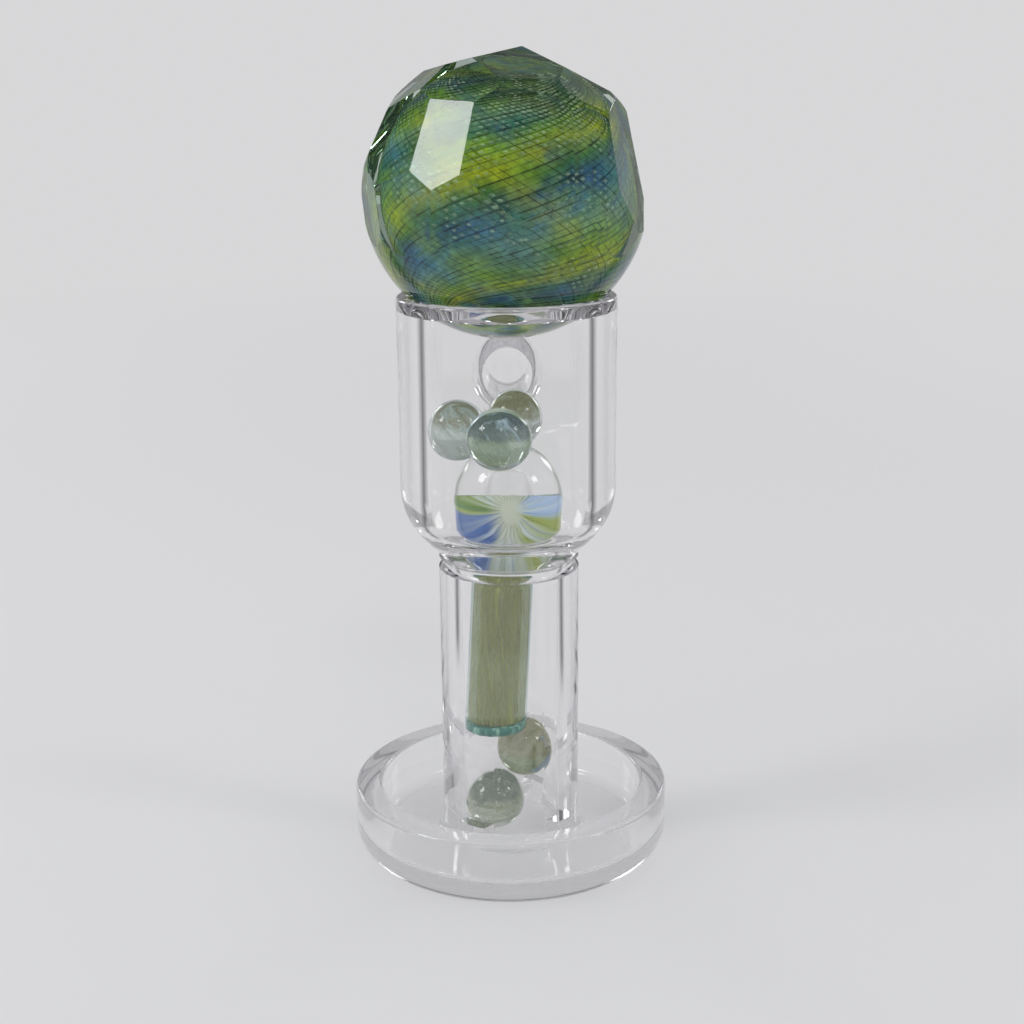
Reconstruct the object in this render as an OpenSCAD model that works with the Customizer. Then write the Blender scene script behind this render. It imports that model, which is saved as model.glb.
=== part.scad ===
// Quartz slurper nail with its set of loose glass marbles, in millimetres.
// The origin is the centre of the underside of the dish. +Z runs up the axis of
// the cup, and +Y points to the side where the neck leaves the cup.

/* [Dish] */
// Outer diameter of the dish
dish_d = 37.6; // [32:0.2:44]
// Thickness of the dish's upright wall
dish_wall_t = 3.2; // [2:0.1:4]
// Height of the dish, from its underside to its lip
dish_h = 8.3; // [6:0.1:11]
// Thickness of the dish's floor
dish_floor_t = 2.2; // [1.6:0.1:3]
// Rounding of the dish's lower outer edge
dish_edge_r = 3.2; // [1:0.1:4]
// Rounding of the dish's lip
dish_lip_r = 0.5; // [0.2:0.1:0.9]
// Cove where the inside of the wall meets the floor
dish_cove_r = 1.2; // [0.5:0.1:2]

/* [Tube] */
// Outer diameter of the upright tube
tube_d = 16.4; // [15:0.2:18]
// Wall of the upright tube
tube_wall = 2.4; // [2:0.1:2.8]
// Length of the upright tube, from the dish's floor to its weld
tube_len = 33; // [28:0.5:40]
// Number of air slots at the foot of the tube
slot_count = 4; // [2:1:5]
// Width of one air slot
slot_w = 3.4; // [1.5:0.1:4.5]
// Height of one air slot
slot_h = 2.6; // [1:0.1:4]
// Turn of the first air slot about the axis
slot_turn = 55; // [0:1:90]
// Size of the glass fillet round the foot of the tube
foot_fillet_r = 1.1; // [0.5:0.1:1.8]
// Height of the weld between the tube and the cup
weld_h = 1.4; // [1:0.1:2.5]
// Depth of the groove that the weld leaves
weld_groove = 0.65; // [0.2:0.05:0.9]

/* [Cup] */
// Outer diameter of the cup
cup_d = 25; // [24:0.2:27]
// Wall of the cup
cup_wall = 3.1; // [2.4:0.1:3.4]
// Height of the cup, from its underside to its rim
cup_h = 30.4; // [27:0.2:36]
// Thickness of the cup's floor
cup_floor_t = 3.1; // [2:0.1:4]
// Outer rounding of the cup's bottom
bowl_r = 8.4; // [6:0.1:9]
// Inner rounding between the cup's wall and its floor
bowl_corner_r = 2.5; // [1:0.1:3]
// Diameter of the throat in the cup's floor
throat_d = 10; // [8.6:0.1:10.4]
// Height and width of the bevel inside the rim
bevel = 2; // [1.2:0.1:2.3]
// Rounding of the rim's outer edge
rim_r = 0.45; // [0.1:0.05:0.6]

/* [Neck] */
// Outer diameter of the neck
neck_d = 9; // [8.6:0.1:9.6]
// Bore of the neck and of the joint
neck_bore_d = 6.5; // [5.5:0.1:7]
// Distance from the rim down to the axis of the neck
neck_below_rim = 10.7; // [9.5:0.1:12]
// Straight stretch of the neck behind the cup
neck_run = 8.5; // [5:0.5:14]
// Radius of the neck's bend, at the middle of the tube
bend_r = 7; // [6:0.5:10]
// Straight stretch between the bend and the joint
neck_drop_len = 1.3; // [0.5:0.1:5]
// Widening of the port where the neck opens into the cup
port_flare = 0.3; // [0.1:0.1:1]
// Size of the glass fillet where the neck meets the cup
neck_fillet_r = 0.7; // [0.3:0.1:1.2]
// Large diameter of the ground joint
joint_d = 10; // [9.8:0.1:10.4]
// Length of the ground joint
joint_len = 14; // [10:0.5:18]
// Length over which the joint narrows by one unit of diameter
joint_taper = 10; // [8:0.5:14]

/* [Cap marble] */
// Diameter of the coloured core in the cap marble
cap_core_d = 21.6; // [18:0.2:26]
// Clear glass over the core, before the flats are cut into it
cap_clear = 5.1; // [4:0.1:6.8]
// Number of flats round the crown
crown_count = 4; // [3:1:6]
// Tilt of the crown flats from level
crown_tilt = 20; // [15:1:26]
// Lean of the whole crown to the right
crown_lean = 7; // [0:1:10]
// Depth of the crown flats, as a share of the clear glass over the core
crown_cut = 0.22; // [0.05:0.01:0.3]
// Depth of the deepest hand-cut flat, as a share of the clear glass over the core
flat_cut = 0.34; // [0.1:0.01:0.4]

/* [Valve marble] */
// Diameter of the valve marble
valve_d = 12.7; // [11.6:0.1:13.6]
// Diameter of the coloured blossom in the valve marble
valve_core_d = 11; // [7:0.1:11]
// Tip of the blossom's flat side towards the back
valve_tip = 15; // [0:1:30]

/* [Pearls and pillar] */
// Diameter of each upper pearl
pearl_d = 7; // [6:0.1:7.4]
// Bearing of the front pearl, clockwise from the front
pearl_turn = -9; // [-40:1:20]
// Free turn between the left pearl and the rear pearl
pearl_rear_turn = 31; // [1:1:60]
// Diameter of each lower pearl
low_pearl_d = 7.1; // [6:0.1:7.4]
// Bearing of the higher one of the lower pearls, from +X
low_pearl_turn = 32; // [0:1:60]
// Diameter of the pillar
pillar_d = 7.2; // [6:0.1:7.6]
// Diameter of the coloured core in the pillar
pillar_core_d = 4.4; // [3:0.1:6]
// Clear glass at each end of the pillar's core
pillar_end = 1.1; // [0.6:0.1:3]
// Rounding of the pillar's ends
pillar_edge_r = 0.8; // [0.2:0.1:1.2]
// Free height between the pillar and the throat
pillar_headroom = 2.2; // [1:0.1:6]
// Lean of the pillar from upright
pillar_lean = 3.4; // [0:0.1:4]

/* [Clearances] */
// Gap between loose pieces and what they rest on
rest_gap = 0.06; // [0.03:0.01:0.12]
// Gap between a coloured core and the glass cast round it
core_gap = 0.02; // [0.01:0.005:0.04]

/* [Hidden] */
$fn = 96;
// Overshoot of cutting bodies past the faces that they cut
over = 1;
// Bearing of the front, from +X
front_az = -90;
// Thickness of the outer edge of the fillet at the neck
fillet_toe = 0.01;

dish_r = dish_d / 2;
tube_r = tube_d / 2;
bore_r = tube_r - tube_wall;
cup_r = cup_d / 2;
cup_in_r = cup_r - cup_wall;
throat_r = throat_d / 2;
neck_r = neck_d / 2;
neck_bore_r = neck_bore_d / 2;

// Levels, from the underside of the dish upwards
tube_top_z = dish_floor_t + tube_len;
bowl_z = tube_top_z + weld_h;
bowl_top_z = bowl_z + bowl_r;
cup_floor_z = bowl_z + cup_floor_t;
rim_z = bowl_z + cup_h;
neck_z = rim_z - neck_below_rim;

// The neck leaves the cup along +Y, bends down and ends in the joint
bend_y = cup_r + neck_run;
joint_y = bend_y + bend_r;
drop_top_z = neck_z - bend_r;
joint_top_z = drop_top_z - neck_drop_len;
joint_tip_r = (joint_d - joint_len / joint_taper) / 2;

// Foot of the 45-degree skirt that is tangent to the bowl's rounding
skirt_foot_r = cup_r - bowl_r + bowl_r * (sqrt(2) - 1);
skirt_top_r = cup_r - bowl_r + bowl_r / sqrt(2);

// The cap marble rests on the 45-degree bevel, or on its outer edge if it is too wide for it
cap_r = cap_core_d / 2 + cap_clear;
bevel_out_r = cup_in_r + bevel;
cap_on_bevel_z = rim_z - bevel - cup_in_r + (cap_r + rest_gap) * sqrt(2);
cap_on_edge_z = rim_z + sqrt(pow(cap_r + rest_gap, 2) - pow(bevel_out_r, 2));
cap_z = cap_r / sqrt(2) > bevel_out_r ? cap_on_edge_z : cap_on_bevel_z;
// Hand-cut flats: bearing to the right from the front, elevation, depth against the deepest
small_flats = [
    [-74, 52, 0.35], [-27, 54, 0.4], [16, 57, 0.3], [56, 50, 0.35],
    [97, 50, 0.35], [138, 50, 0.35], [180, 50, 0.35], [230, 50, 0.35]
];
tall_flats = [
    [-90, 25, 0.35], [-54, 24, 0.6], [-30, 24, 0.53], [7, 20, 0.94], [38, 17, 0.47], [74, 12, 1],
    [107, 11, 0.85], [142, 20, 0.6], [175, 20, 0.65], [208, 20, 0.6], [240, 22, 0.53]
];
lower_flats = [
    [-72, -5, 0.3], [-46, -3, 0.47], [-14, -6, 0.44], [22, -12, 0.32], [56, -9, 0.3], [94, -9, 0.35],
    [128, -8, 0.3], [160, -8, 0.3], [192, -8, 0.3], [226, -8, 0.3], [262, -6, 0.24]
];

// The valve marble rests on the edge of the throat
valve_r = valve_d / 2;
valve_z = cup_floor_z + sqrt(pow(valve_r + rest_gap, 2) - pow(throat_r, 2));

// The upper pearls lie between the valve marble and the cup's wall
pearl_r = pearl_d / 2;
pearl_ring_r = cup_in_r - pearl_r - rest_gap;
pearl_z = valve_z + sqrt(pow(valve_r + pearl_r + rest_gap, 2) - pow(pearl_ring_r, 2));
pearl_step = 2 * asin((pearl_r + rest_gap / 2) / pearl_ring_r);

// The lower pearls lean on opposite sides of the bore, one above the other
low_pearl_r = low_pearl_d / 2;
low_ring_r = bore_r - low_pearl_r - rest_gap;
low_pearl_z = dish_floor_t + low_pearl_r + rest_gap;
high_pearl_z = low_pearl_z + sqrt(pow(2 * low_pearl_r + rest_gap, 2) - pow(2 * low_ring_r, 2));

// The pillar stands on the higher lower pearl, its foot towards the far side of the bore
pillar_r = pillar_d / 2;
pillar_ring_r = bore_r - pillar_r - 3 * rest_gap;
pillar_reach = low_ring_r + pillar_ring_r - (pillar_r - pillar_edge_r);
pillar_z = high_pearl_z - pillar_edge_r + 2 * rest_gap
    + sqrt(pow(low_pearl_r + pillar_edge_r + rest_gap, 2) - pow(pillar_reach, 2))
    + (pillar_r - pillar_edge_r) * sin(pillar_lean);
pillar_len = (bowl_z - pillar_headroom - pillar_z) / cos(pillar_lean);

quartz = [0.86, 0.91, 0.94, 0.4];
ground = [0.93, 0.94, 0.95];
casing = [0.62, 0.74, 0.72, 0.5];
upper_green = [0.55, 0.68, 0.62];
lower_olive = [0.6, 0.66, 0.5];

// Tube of revolution about the axis, from z0 to z1
module ring(r_out, r_in, z0, z1) {
    translate([0, 0, z0]) difference() {
        cylinder(h = z1 - z0, r = r_out);
        translate([0, 0, -over]) cylinder(h = z1 - z0 + 2 * over, r = r_in);
    }
}

// Rectangle whose two upper corners are rounded
module round_topped(w, h, r) {
    square([w, h - r]);
    translate([r, h - r - over / 2]) square([w - 2 * r, r + over / 2]);
    for (x = [r, w - r]) translate([x, h - r]) circle(r = r);
}

// Cylinder along +Y from y0 to y1, at the height of the neck
module along_neck(r, y0, y1, r_far = 0) {
    translate([0, y0, neck_z]) rotate([-90, 0, 0])
        cylinder(h = y1 - y0, r1 = r, r2 = r_far > 0 ? r_far : r);
}

module air_slots() {
    for (k = [0 : slot_count - 1]) rotate([0, 0, slot_turn + k * 360 / slot_count])
        translate([0, -slot_w / 2, dish_floor_t - over])
            cube([dish_r, slot_w, slot_h + over]);
}

// Half section of the dish as one solid disc, its lower edge rounded
module dish_profile() {
    square([dish_r - dish_edge_r, dish_h]);
    translate([0, dish_edge_r]) square([dish_r, dish_h - dish_edge_r]);
    intersection() {
        translate([dish_r - dish_edge_r, dish_edge_r]) circle(r = dish_edge_r);
        square([dish_r, dish_edge_r]);
    }
}

module dish_floor() {
    color(quartz) rotate_extrude() intersection() {
        dish_profile();
        square([dish_r, dish_floor_t]);
    }
}

module dish_wall() {
    inner = dish_r - dish_wall_t;
    color(quartz) rotate_extrude() {
        intersection() {
            dish_profile();
            translate([inner, dish_floor_t]) round_topped(dish_wall_t, dish_h - dish_floor_t, dish_lip_r);
        }
        difference() {
            translate([inner - dish_cove_r, dish_floor_t]) square([dish_cove_r + over / 2, dish_cove_r]);
            translate([inner - dish_cove_r, dish_floor_t + dish_cove_r]) circle(r = dish_cove_r);
        }
    }
}

module foot_fillet() {
    color(quartz) difference() {
        rotate_extrude() difference() {
            translate([tube_r, dish_floor_t]) square(foot_fillet_r);
            translate([tube_r + foot_fillet_r, dish_floor_t + foot_fillet_r]) circle(r = foot_fillet_r);
        }
        air_slots();
    }
}

module slurper_tube() {
    color(quartz) difference() {
        ring(tube_r, bore_r, dish_floor_t, tube_top_z);
        air_slots();
    }
}

module throat_weld() {
    groove_r = weld_h / 2;
    color(quartz) rotate_extrude() difference() {
        translate([bore_r, tube_top_z]) square([tube_wall, weld_h]);
        translate([tube_r + groove_r - weld_groove, tube_top_z + groove_r]) circle(r = groove_r);
    }
}

module bowl_profile() {
    intersection() {
        translate([0, bowl_z]) square([cup_r, bowl_r]);
        union() {
            translate([cup_r - bowl_r, bowl_top_z]) circle(r = bowl_r);
            translate([0, bowl_z]) square([cup_r - bowl_r, bowl_r]);
            polygon([
                [0, bowl_z],
                [skirt_foot_r, bowl_z],
                [skirt_top_r, bowl_z + skirt_top_r - skirt_foot_r],
                [0, bowl_z + skirt_top_r - skirt_foot_r]
            ]);
        }
    }
}

module cup_space() {
    translate([0, cup_floor_z + bowl_corner_r]) square([cup_in_r, cup_h]);
    translate([0, cup_floor_z]) square([cup_in_r - bowl_corner_r, cup_h]);
    translate([cup_in_r - bowl_corner_r, cup_floor_z + bowl_corner_r]) circle(r = bowl_corner_r);
    translate([0, bowl_z - over]) square([throat_r, cup_h]);
}

module cup_bowl() {
    color(quartz) rotate_extrude() difference() {
        bowl_profile();
        cup_space();
    }
}

module cup_barrel() {
    color(quartz) difference() {
        rotate_extrude() difference() {
            union() {
                translate([cup_in_r, bowl_top_z]) square([cup_wall, rim_z - bowl_top_z - rim_r]);
                translate([cup_in_r, rim_z - bevel]) square([cup_wall - rim_r, bevel]);
                translate([cup_r - rim_r, rim_z - rim_r]) circle(r = rim_r);
            }
            polygon([
                [cup_in_r - over, rim_z - bevel - over],
                [bevel_out_r + over, rim_z + over],
                [cup_in_r - over, rim_z + over]
            ]);
        }
        along_neck(neck_bore_r + port_flare, cup_in_r - over, cup_r + over, neck_bore_r);
    }
}

module neck_fillet() {
    color(quartz) difference() {
        along_neck(neck_r + neck_fillet_r, cup_r - over, cup_r + neck_fillet_r, neck_r + fillet_toe);
        along_neck(neck_r, cup_r - 2 * over, cup_r + neck_fillet_r + over);
        cylinder(h = rim_z + over, r = cup_r);
    }
}

module neck_arm() {
    color(quartz) difference() {
        along_neck(neck_r, cup_r - 2 * over, bend_y);
        along_neck(neck_bore_r, cup_r - 3 * over, bend_y + over);
        cylinder(h = rim_z + over, r = cup_r);
    }
}

module neck_elbow() {
    color(quartz) translate([0, bend_y, drop_top_z]) rotate([90, 0, 90])
        rotate_extrude(angle = 90) difference() {
            translate([bend_r, 0]) circle(r = neck_r);
            translate([bend_r, 0]) circle(r = neck_bore_r);
        }
}

module neck_drop() {
    color(quartz) translate([0, joint_y, 0]) ring(neck_r, neck_bore_r, joint_top_z, drop_top_z);
}

module ground_joint() {
    color(ground) translate([0, joint_y, joint_top_z - joint_len]) difference() {
        cylinder(h = joint_len, r1 = joint_tip_r, r2 = joint_d / 2);
        translate([0, 0, -over]) cylinder(h = joint_len + 2 * over, r = neck_bore_r);
    }
}

// Space beyond a flat of the cap marble, its normal at bearing az and elevation el, which takes off
// a share of the clear glass over the core
module flat(az, el, share) {
    rotate([0, 0, az]) rotate([0, -el, 0]) translate([cap_r - share * cap_clear, -cap_r, -cap_r])
        cube([cap_r, 2 * cap_r, 2 * cap_r]);
}

module cap_flats() {
    rotate([0, crown_lean, 0]) for (k = [0 : crown_count - 1])
        flat(k * 360 / crown_count, 90 - crown_tilt, crown_cut);
    for (cut = concat(small_flats, tall_flats, lower_flats))
        flat(front_az + cut[0], cut[1], cut[2] * flat_cut);
}

module cap_marble_casing() {
    color(casing) translate([0, 0, cap_z]) difference() {
        sphere(r = cap_r);
        sphere(r = cap_core_d / 2 + core_gap);
        cap_flats();
    }
}

module cap_marble_core() {
    color("seagreen") translate([0, 0, cap_z]) sphere(r = cap_core_d / 2);
}

// Lower half of a ball, which the coloured blossom fills
module half_ball(r) {
    intersection() {
        sphere(r = r);
        translate([-r, -r, -2 * r]) cube(2 * r);
    }
}

module valve_marble_casing() {
    color(casing) translate([0, 0, valve_z]) difference() {
        sphere(r = valve_r);
        rotate([-valve_tip, 0, 0]) translate([0, 0, core_gap]) half_ball(valve_core_d / 2 + core_gap);
    }
}

module valve_marble_blossom() {
    color("steelblue") translate([0, 0, valve_z]) rotate([-valve_tip, 0, 0]) half_ball(valve_core_d / 2);
}

// Upper pearl at a bearing measured clockwise from the front
module upper_pearl(bearing) {
    color(upper_green) rotate([0, 0, front_az + bearing])
        translate([pearl_ring_r, 0, pearl_z]) sphere(r = pearl_r);
}

module upper_pearl_front() {
    upper_pearl(pearl_turn);
}

module upper_pearl_left() {
    upper_pearl(pearl_turn - pearl_step);
}

module upper_pearl_rear() {
    upper_pearl(pearl_turn - 2 * pearl_step - pearl_rear_turn);
}

// Places a piece on the pillar's own axis, its foot at the far side of the bore
module on_pillar_axis() {
    rotate([0, 0, low_pearl_turn]) translate([-pillar_ring_r, 0, pillar_z])
        rotate([0, pillar_lean, 0]) children();
}

module pillar_shape() {
    flat_r = pillar_r - pillar_edge_r;
    rotate_extrude() {
        square([flat_r, pillar_len]);
        translate([0, pillar_edge_r]) square([pillar_r, pillar_len - 2 * pillar_edge_r]);
        for (z = [pillar_edge_r, pillar_len - pillar_edge_r]) intersection() {
            translate([flat_r, z]) circle(r = pillar_edge_r);
            square([pillar_r, pillar_len]);
        }
    }
}

module pillar_casing() {
    color("cadetblue") on_pillar_axis() difference() {
        pillar_shape();
        translate([0, 0, pillar_end - core_gap])
            cylinder(h = pillar_len - 2 * (pillar_end - core_gap), r = pillar_core_d / 2 + core_gap);
    }
}

module pillar_core() {
    color("olive") on_pillar_axis() translate([0, 0, pillar_end])
        cylinder(h = pillar_len - 2 * pillar_end, r = pillar_core_d / 2);
}

module lower_pearl_high() {
    color(lower_olive) rotate([0, 0, low_pearl_turn])
        translate([low_ring_r, 0, high_pearl_z]) sphere(r = low_pearl_r);
}

module lower_pearl_low() {
    color(lower_olive) rotate([0, 0, low_pearl_turn])
        translate([-low_ring_r, 0, low_pearl_z]) sphere(r = low_pearl_r);
}

dish_floor();
dish_wall();
foot_fillet();
slurper_tube();
throat_weld();
cup_bowl();
cup_barrel();
neck_fillet();
neck_arm();
neck_elbow();
neck_drop();
ground_joint();
cap_marble_casing();
cap_marble_core();
valve_marble_casing();
valve_marble_blossom();
upper_pearl_front();
upper_pearl_left();
upper_pearl_rear();
pillar_casing();
pillar_core();
lower_pearl_high();
lower_pearl_low();
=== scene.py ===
"""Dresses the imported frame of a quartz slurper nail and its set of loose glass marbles.

The welded quartz is one fused mesh, because a good weld shows no surface inside the glass. Each marble is
a solid ball of clear glass with its coloured work embedded in it.
"""

from __future__ import annotations

import logging
import math
import random
from collections.abc import Callable
from dataclasses import dataclass, field
from enum import Enum

import bpy
from mathutils import Euler, Matrix, Vector, noise

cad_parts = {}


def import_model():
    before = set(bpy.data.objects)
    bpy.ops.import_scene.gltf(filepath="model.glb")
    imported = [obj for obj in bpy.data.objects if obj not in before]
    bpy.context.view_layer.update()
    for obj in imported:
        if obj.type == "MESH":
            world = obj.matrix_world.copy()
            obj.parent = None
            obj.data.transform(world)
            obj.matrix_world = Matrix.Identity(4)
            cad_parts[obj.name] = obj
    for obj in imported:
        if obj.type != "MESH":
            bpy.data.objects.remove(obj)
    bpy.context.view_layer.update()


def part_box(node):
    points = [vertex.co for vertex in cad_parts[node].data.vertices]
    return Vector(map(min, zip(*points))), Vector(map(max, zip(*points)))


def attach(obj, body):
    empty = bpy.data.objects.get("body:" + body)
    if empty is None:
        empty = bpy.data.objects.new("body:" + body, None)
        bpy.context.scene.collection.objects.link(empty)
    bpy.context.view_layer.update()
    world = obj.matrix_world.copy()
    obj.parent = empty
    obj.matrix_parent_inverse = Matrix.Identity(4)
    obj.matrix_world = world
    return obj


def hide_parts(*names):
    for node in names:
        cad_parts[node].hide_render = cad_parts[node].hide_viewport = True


log = logging.getLogger("slurper")

MM = 0.001

Piece = bpy.types.Object
Material = bpy.types.Material
Node = bpy.types.Node
Socket = bpy.types.NodeSocket
Tree = bpy.types.NodeTree
Triple = tuple[float, float, float]
Colour = Triple
Angles = Triple


# ---------------------------------------------------------------- modelling


class Meeting(Enum):
    """What becomes of two solids where they meet."""

    WELD = "UNION"
    CUT = "DIFFERENCE"
    KEEP_SHARED = "INTERSECT"


def deselect_all() -> None:
    """Leaves object mode with nothing selected."""
    if bpy.context.object and bpy.context.object.mode != "OBJECT":
        bpy.ops.object.mode_set(mode="OBJECT")
    bpy.ops.object.select_all(action="DESELECT")


def pick(obj: Piece) -> None:
    """Selects one object alone and makes it the active one.

    Args:
        obj: The object.
    """
    deselect_all()
    obj.select_set(True)
    bpy.context.view_layer.objects.active = obj


def start(name: str) -> Piece:
    """Names the primitive that an operator has just added.

    Args:
        name: The piece's name.

    Returns:
        The new object, which is active and selected.
    """
    obj = bpy.context.object
    obj.name = name
    obj.data.name = name
    return obj


def edit(obj: Piece, everything: bool = True) -> None:
    """Opens an object in edit mode.

    Args:
        obj: The object.
        everything: Whether all of it is selected at the start.
    """
    pick(obj)
    bpy.ops.object.mode_set(mode="EDIT")
    bpy.ops.mesh.select_mode(type="VERT")
    bpy.ops.mesh.select_all(action="SELECT" if everything else "DESELECT")


def leave_edit() -> None:
    """Goes back to object mode."""
    bpy.ops.object.mode_set(mode="OBJECT")


def edit_where(obj: Piece, wanted: Callable[[Vector], bool]) -> None:
    """Opens an object in edit mode with some of its vertices selected.

    Args:
        obj: The object.
        wanted: Tells from a vertex's place whether it is selected.
    """
    edit(obj, everything=False)
    leave_edit()
    for point in obj.data.vertices:
        point.select = wanted(point.co)
    bpy.ops.object.mode_set(mode="EDIT")


def settle(obj: Piece) -> Piece:
    """Puts an object's place, turn and scale into its mesh.

    Args:
        obj: The object.

    Returns:
        The same object.
    """
    pick(obj)
    bpy.ops.object.transform_apply(location=True, rotation=True, scale=True)
    return obj


def shade(obj: Piece, degrees: float) -> Piece:
    """Shades an object smooth across edges flatter than an angle.

    Args:
        obj: The object.
        degrees: The angle.

    Returns:
        The same object.
    """
    pick(obj)
    bpy.ops.object.shade_smooth_by_angle(angle=math.radians(degrees))
    return obj


def tidy_mesh(obj: Piece, merge: float = 0.001 * MM) -> Piece:
    """Merges doubled vertices and turns all faces outwards.

    Args:
        obj: The object.
        merge: Distance within which vertices are one.

    Returns:
        The same object.
    """
    edit(obj)
    bpy.ops.mesh.remove_doubles(threshold=merge)
    bpy.ops.mesh.normals_make_consistent(inside=False)
    leave_edit()
    return obj


def combine(obj: Piece, tool: Piece, meeting: Meeting) -> None:
    """Changes a solid by another one, which is used up.

    Args:
        obj: The solid that stays.
        tool: The other solid.
        meeting: What becomes of the two.
    """
    pick(obj)
    modifier = obj.modifiers.new("meeting", "BOOLEAN")
    modifier.operation = meeting.value
    modifier.object = tool
    modifier.solver = "EXACT"
    bpy.ops.object.modifier_apply(modifier=modifier.name)
    bpy.data.objects.remove(tool, do_unlink=True)


def slice_off(obj: Piece, point: Vector, outwards: Vector) -> None:
    """Cuts away what lies beyond a plane and closes the cut.

    Args:
        obj: The solid.
        point: A point on the plane.
        outwards: The plane's normal, on the side that is cut away.
    """
    edit(obj)
    bpy.ops.mesh.bisect(plane_co=point, plane_no=outwards, use_fill=True, clear_outer=True)
    leave_edit()


@dataclass
class Profile:
    """Half section of a turned piece, drawn as radius and height in metres."""

    points: list[tuple[float, float]] = field(default_factory=list)

    def to(self, radius: float, height: float) -> Profile:
        """Draws a straight line to a point."""
        self.points.append((radius, height))
        return self

    def arc(
        self, centre: tuple[float, float], size: float, first: float, last: float, steps: int
    ) -> Profile:
        """Draws an arc.

        Args:
            centre: Its centre.
            size: Its radius.
            first: Angle of its first point from the outward direction, in degrees.
            last: Angle of its last point.
            steps: How many straight steps it takes.

        Returns:
            The profile itself.
        """
        for k in range(steps + 1):
            turn = math.radians(first + (last - first) * k / steps)
            self.to(centre[0] + size * math.cos(turn), centre[1] + size * math.sin(turn))
        return self

    def lathe(self, name: str, steps: int) -> Piece:
        """Turns the profile about the vertical axis.

        Args:
            name: The new piece's name.
            steps: How many steps make a full turn.

        Returns:
            The closed solid of revolution.
        """
        deselect_all()
        bpy.ops.mesh.primitive_plane_add(size=MM)
        obj = start(name)
        edit(obj)
        bpy.ops.mesh.merge(type="CENTER")
        here = Vector((self.points[0][0], 0, self.points[0][1]))
        bpy.ops.transform.translate(value=here)
        for radius, height in self.points[1:]:
            there = Vector((radius, 0, height))
            bpy.ops.mesh.extrude_vertices_move(TRANSFORM_OT_translate={"value": there - here})
            here = there
        bpy.ops.mesh.select_all(action="SELECT")
        bpy.ops.mesh.spin(
            steps=steps, angle=math.tau, center=(0, 0, 0), axis=(0, 0, 1), use_auto_merge=True
        )
        leave_edit()
        return tidy_mesh(obj)


def pipe(name: str, stations: list[tuple[Vector, float]], sides: int = 64) -> Piece:
    """Makes a round bar along a path.

    Args:
        name: The new piece's name.
        stations: Points of the path, each with the bar's radius there.
        sides: Number of sides of the round section, a multiple of four.

    Returns:
        The closed bar.
    """
    curve = bpy.data.curves.new(name, "CURVE")
    curve.dimensions = "3D"
    curve.bevel_depth = 1.0
    curve.bevel_resolution = sides // 4 - 1
    curve.use_fill_caps = True
    spline = curve.splines.new("POLY")
    spline.points.add(len(stations) - 1)
    for point, (spot, radius) in zip(spline.points, stations):
        point.co = (*spot, 1)
        point.radius = radius
    return tidy_mesh(curve_to_mesh(name, curve))


def curve_to_mesh(name: str, curve: bpy.types.Curve) -> Piece:
    """Turns a drawn curve into a mesh piece.

    Args:
        name: The new piece's name.
        curve: The curve, with its thickness.

    Returns:
        The piece.
    """
    obj = bpy.data.objects.new(name, curve)
    bpy.context.collection.objects.link(obj)
    pick(obj)
    bpy.ops.object.convert(target="MESH")
    return start(name)


def ball(name: str, centre: Vector, radius: float, segments: int) -> Piece:
    """Makes a smooth ball.

    Args:
        name: The new piece's name.
        centre: Its centre.
        radius: Its radius.
        segments: Steps round its girth, twice as many as from pole to pole.

    Returns:
        The ball.
    """
    deselect_all()
    bpy.ops.mesh.primitive_uv_sphere_add(
        segments=segments, ring_count=segments // 2, radius=radius, location=centre
    )
    obj = settle(start(name))
    bpy.ops.object.shade_smooth()
    return obj


def rod_mark(obj: Piece, centre: Vector, radius: float, towards: Triple, share: float) -> None:
    """Grinds the small flat where a marble was broken off its rod.

    Args:
        obj: The marble.
        centre: Its centre.
        radius: Its radius.
        towards: Direction of the flat from the centre.
        share: Distance of the flat from the centre, as a share of the radius.
    """
    aim = Vector(towards).normalized()
    slice_off(obj, centre + aim * radius * share, aim)
    shade(obj, 12)


def centre_of(node: str) -> Vector:
    """Centre of a node's box."""
    low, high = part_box(node)
    return (Vector(low) + Vector(high)) / 2


def radius_of(node: str) -> float:
    """Half the width of a round node."""
    low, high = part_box(node)
    return (high[0] - low[0]) / 2


# ---------------------------------------------------------------- shaders


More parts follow.
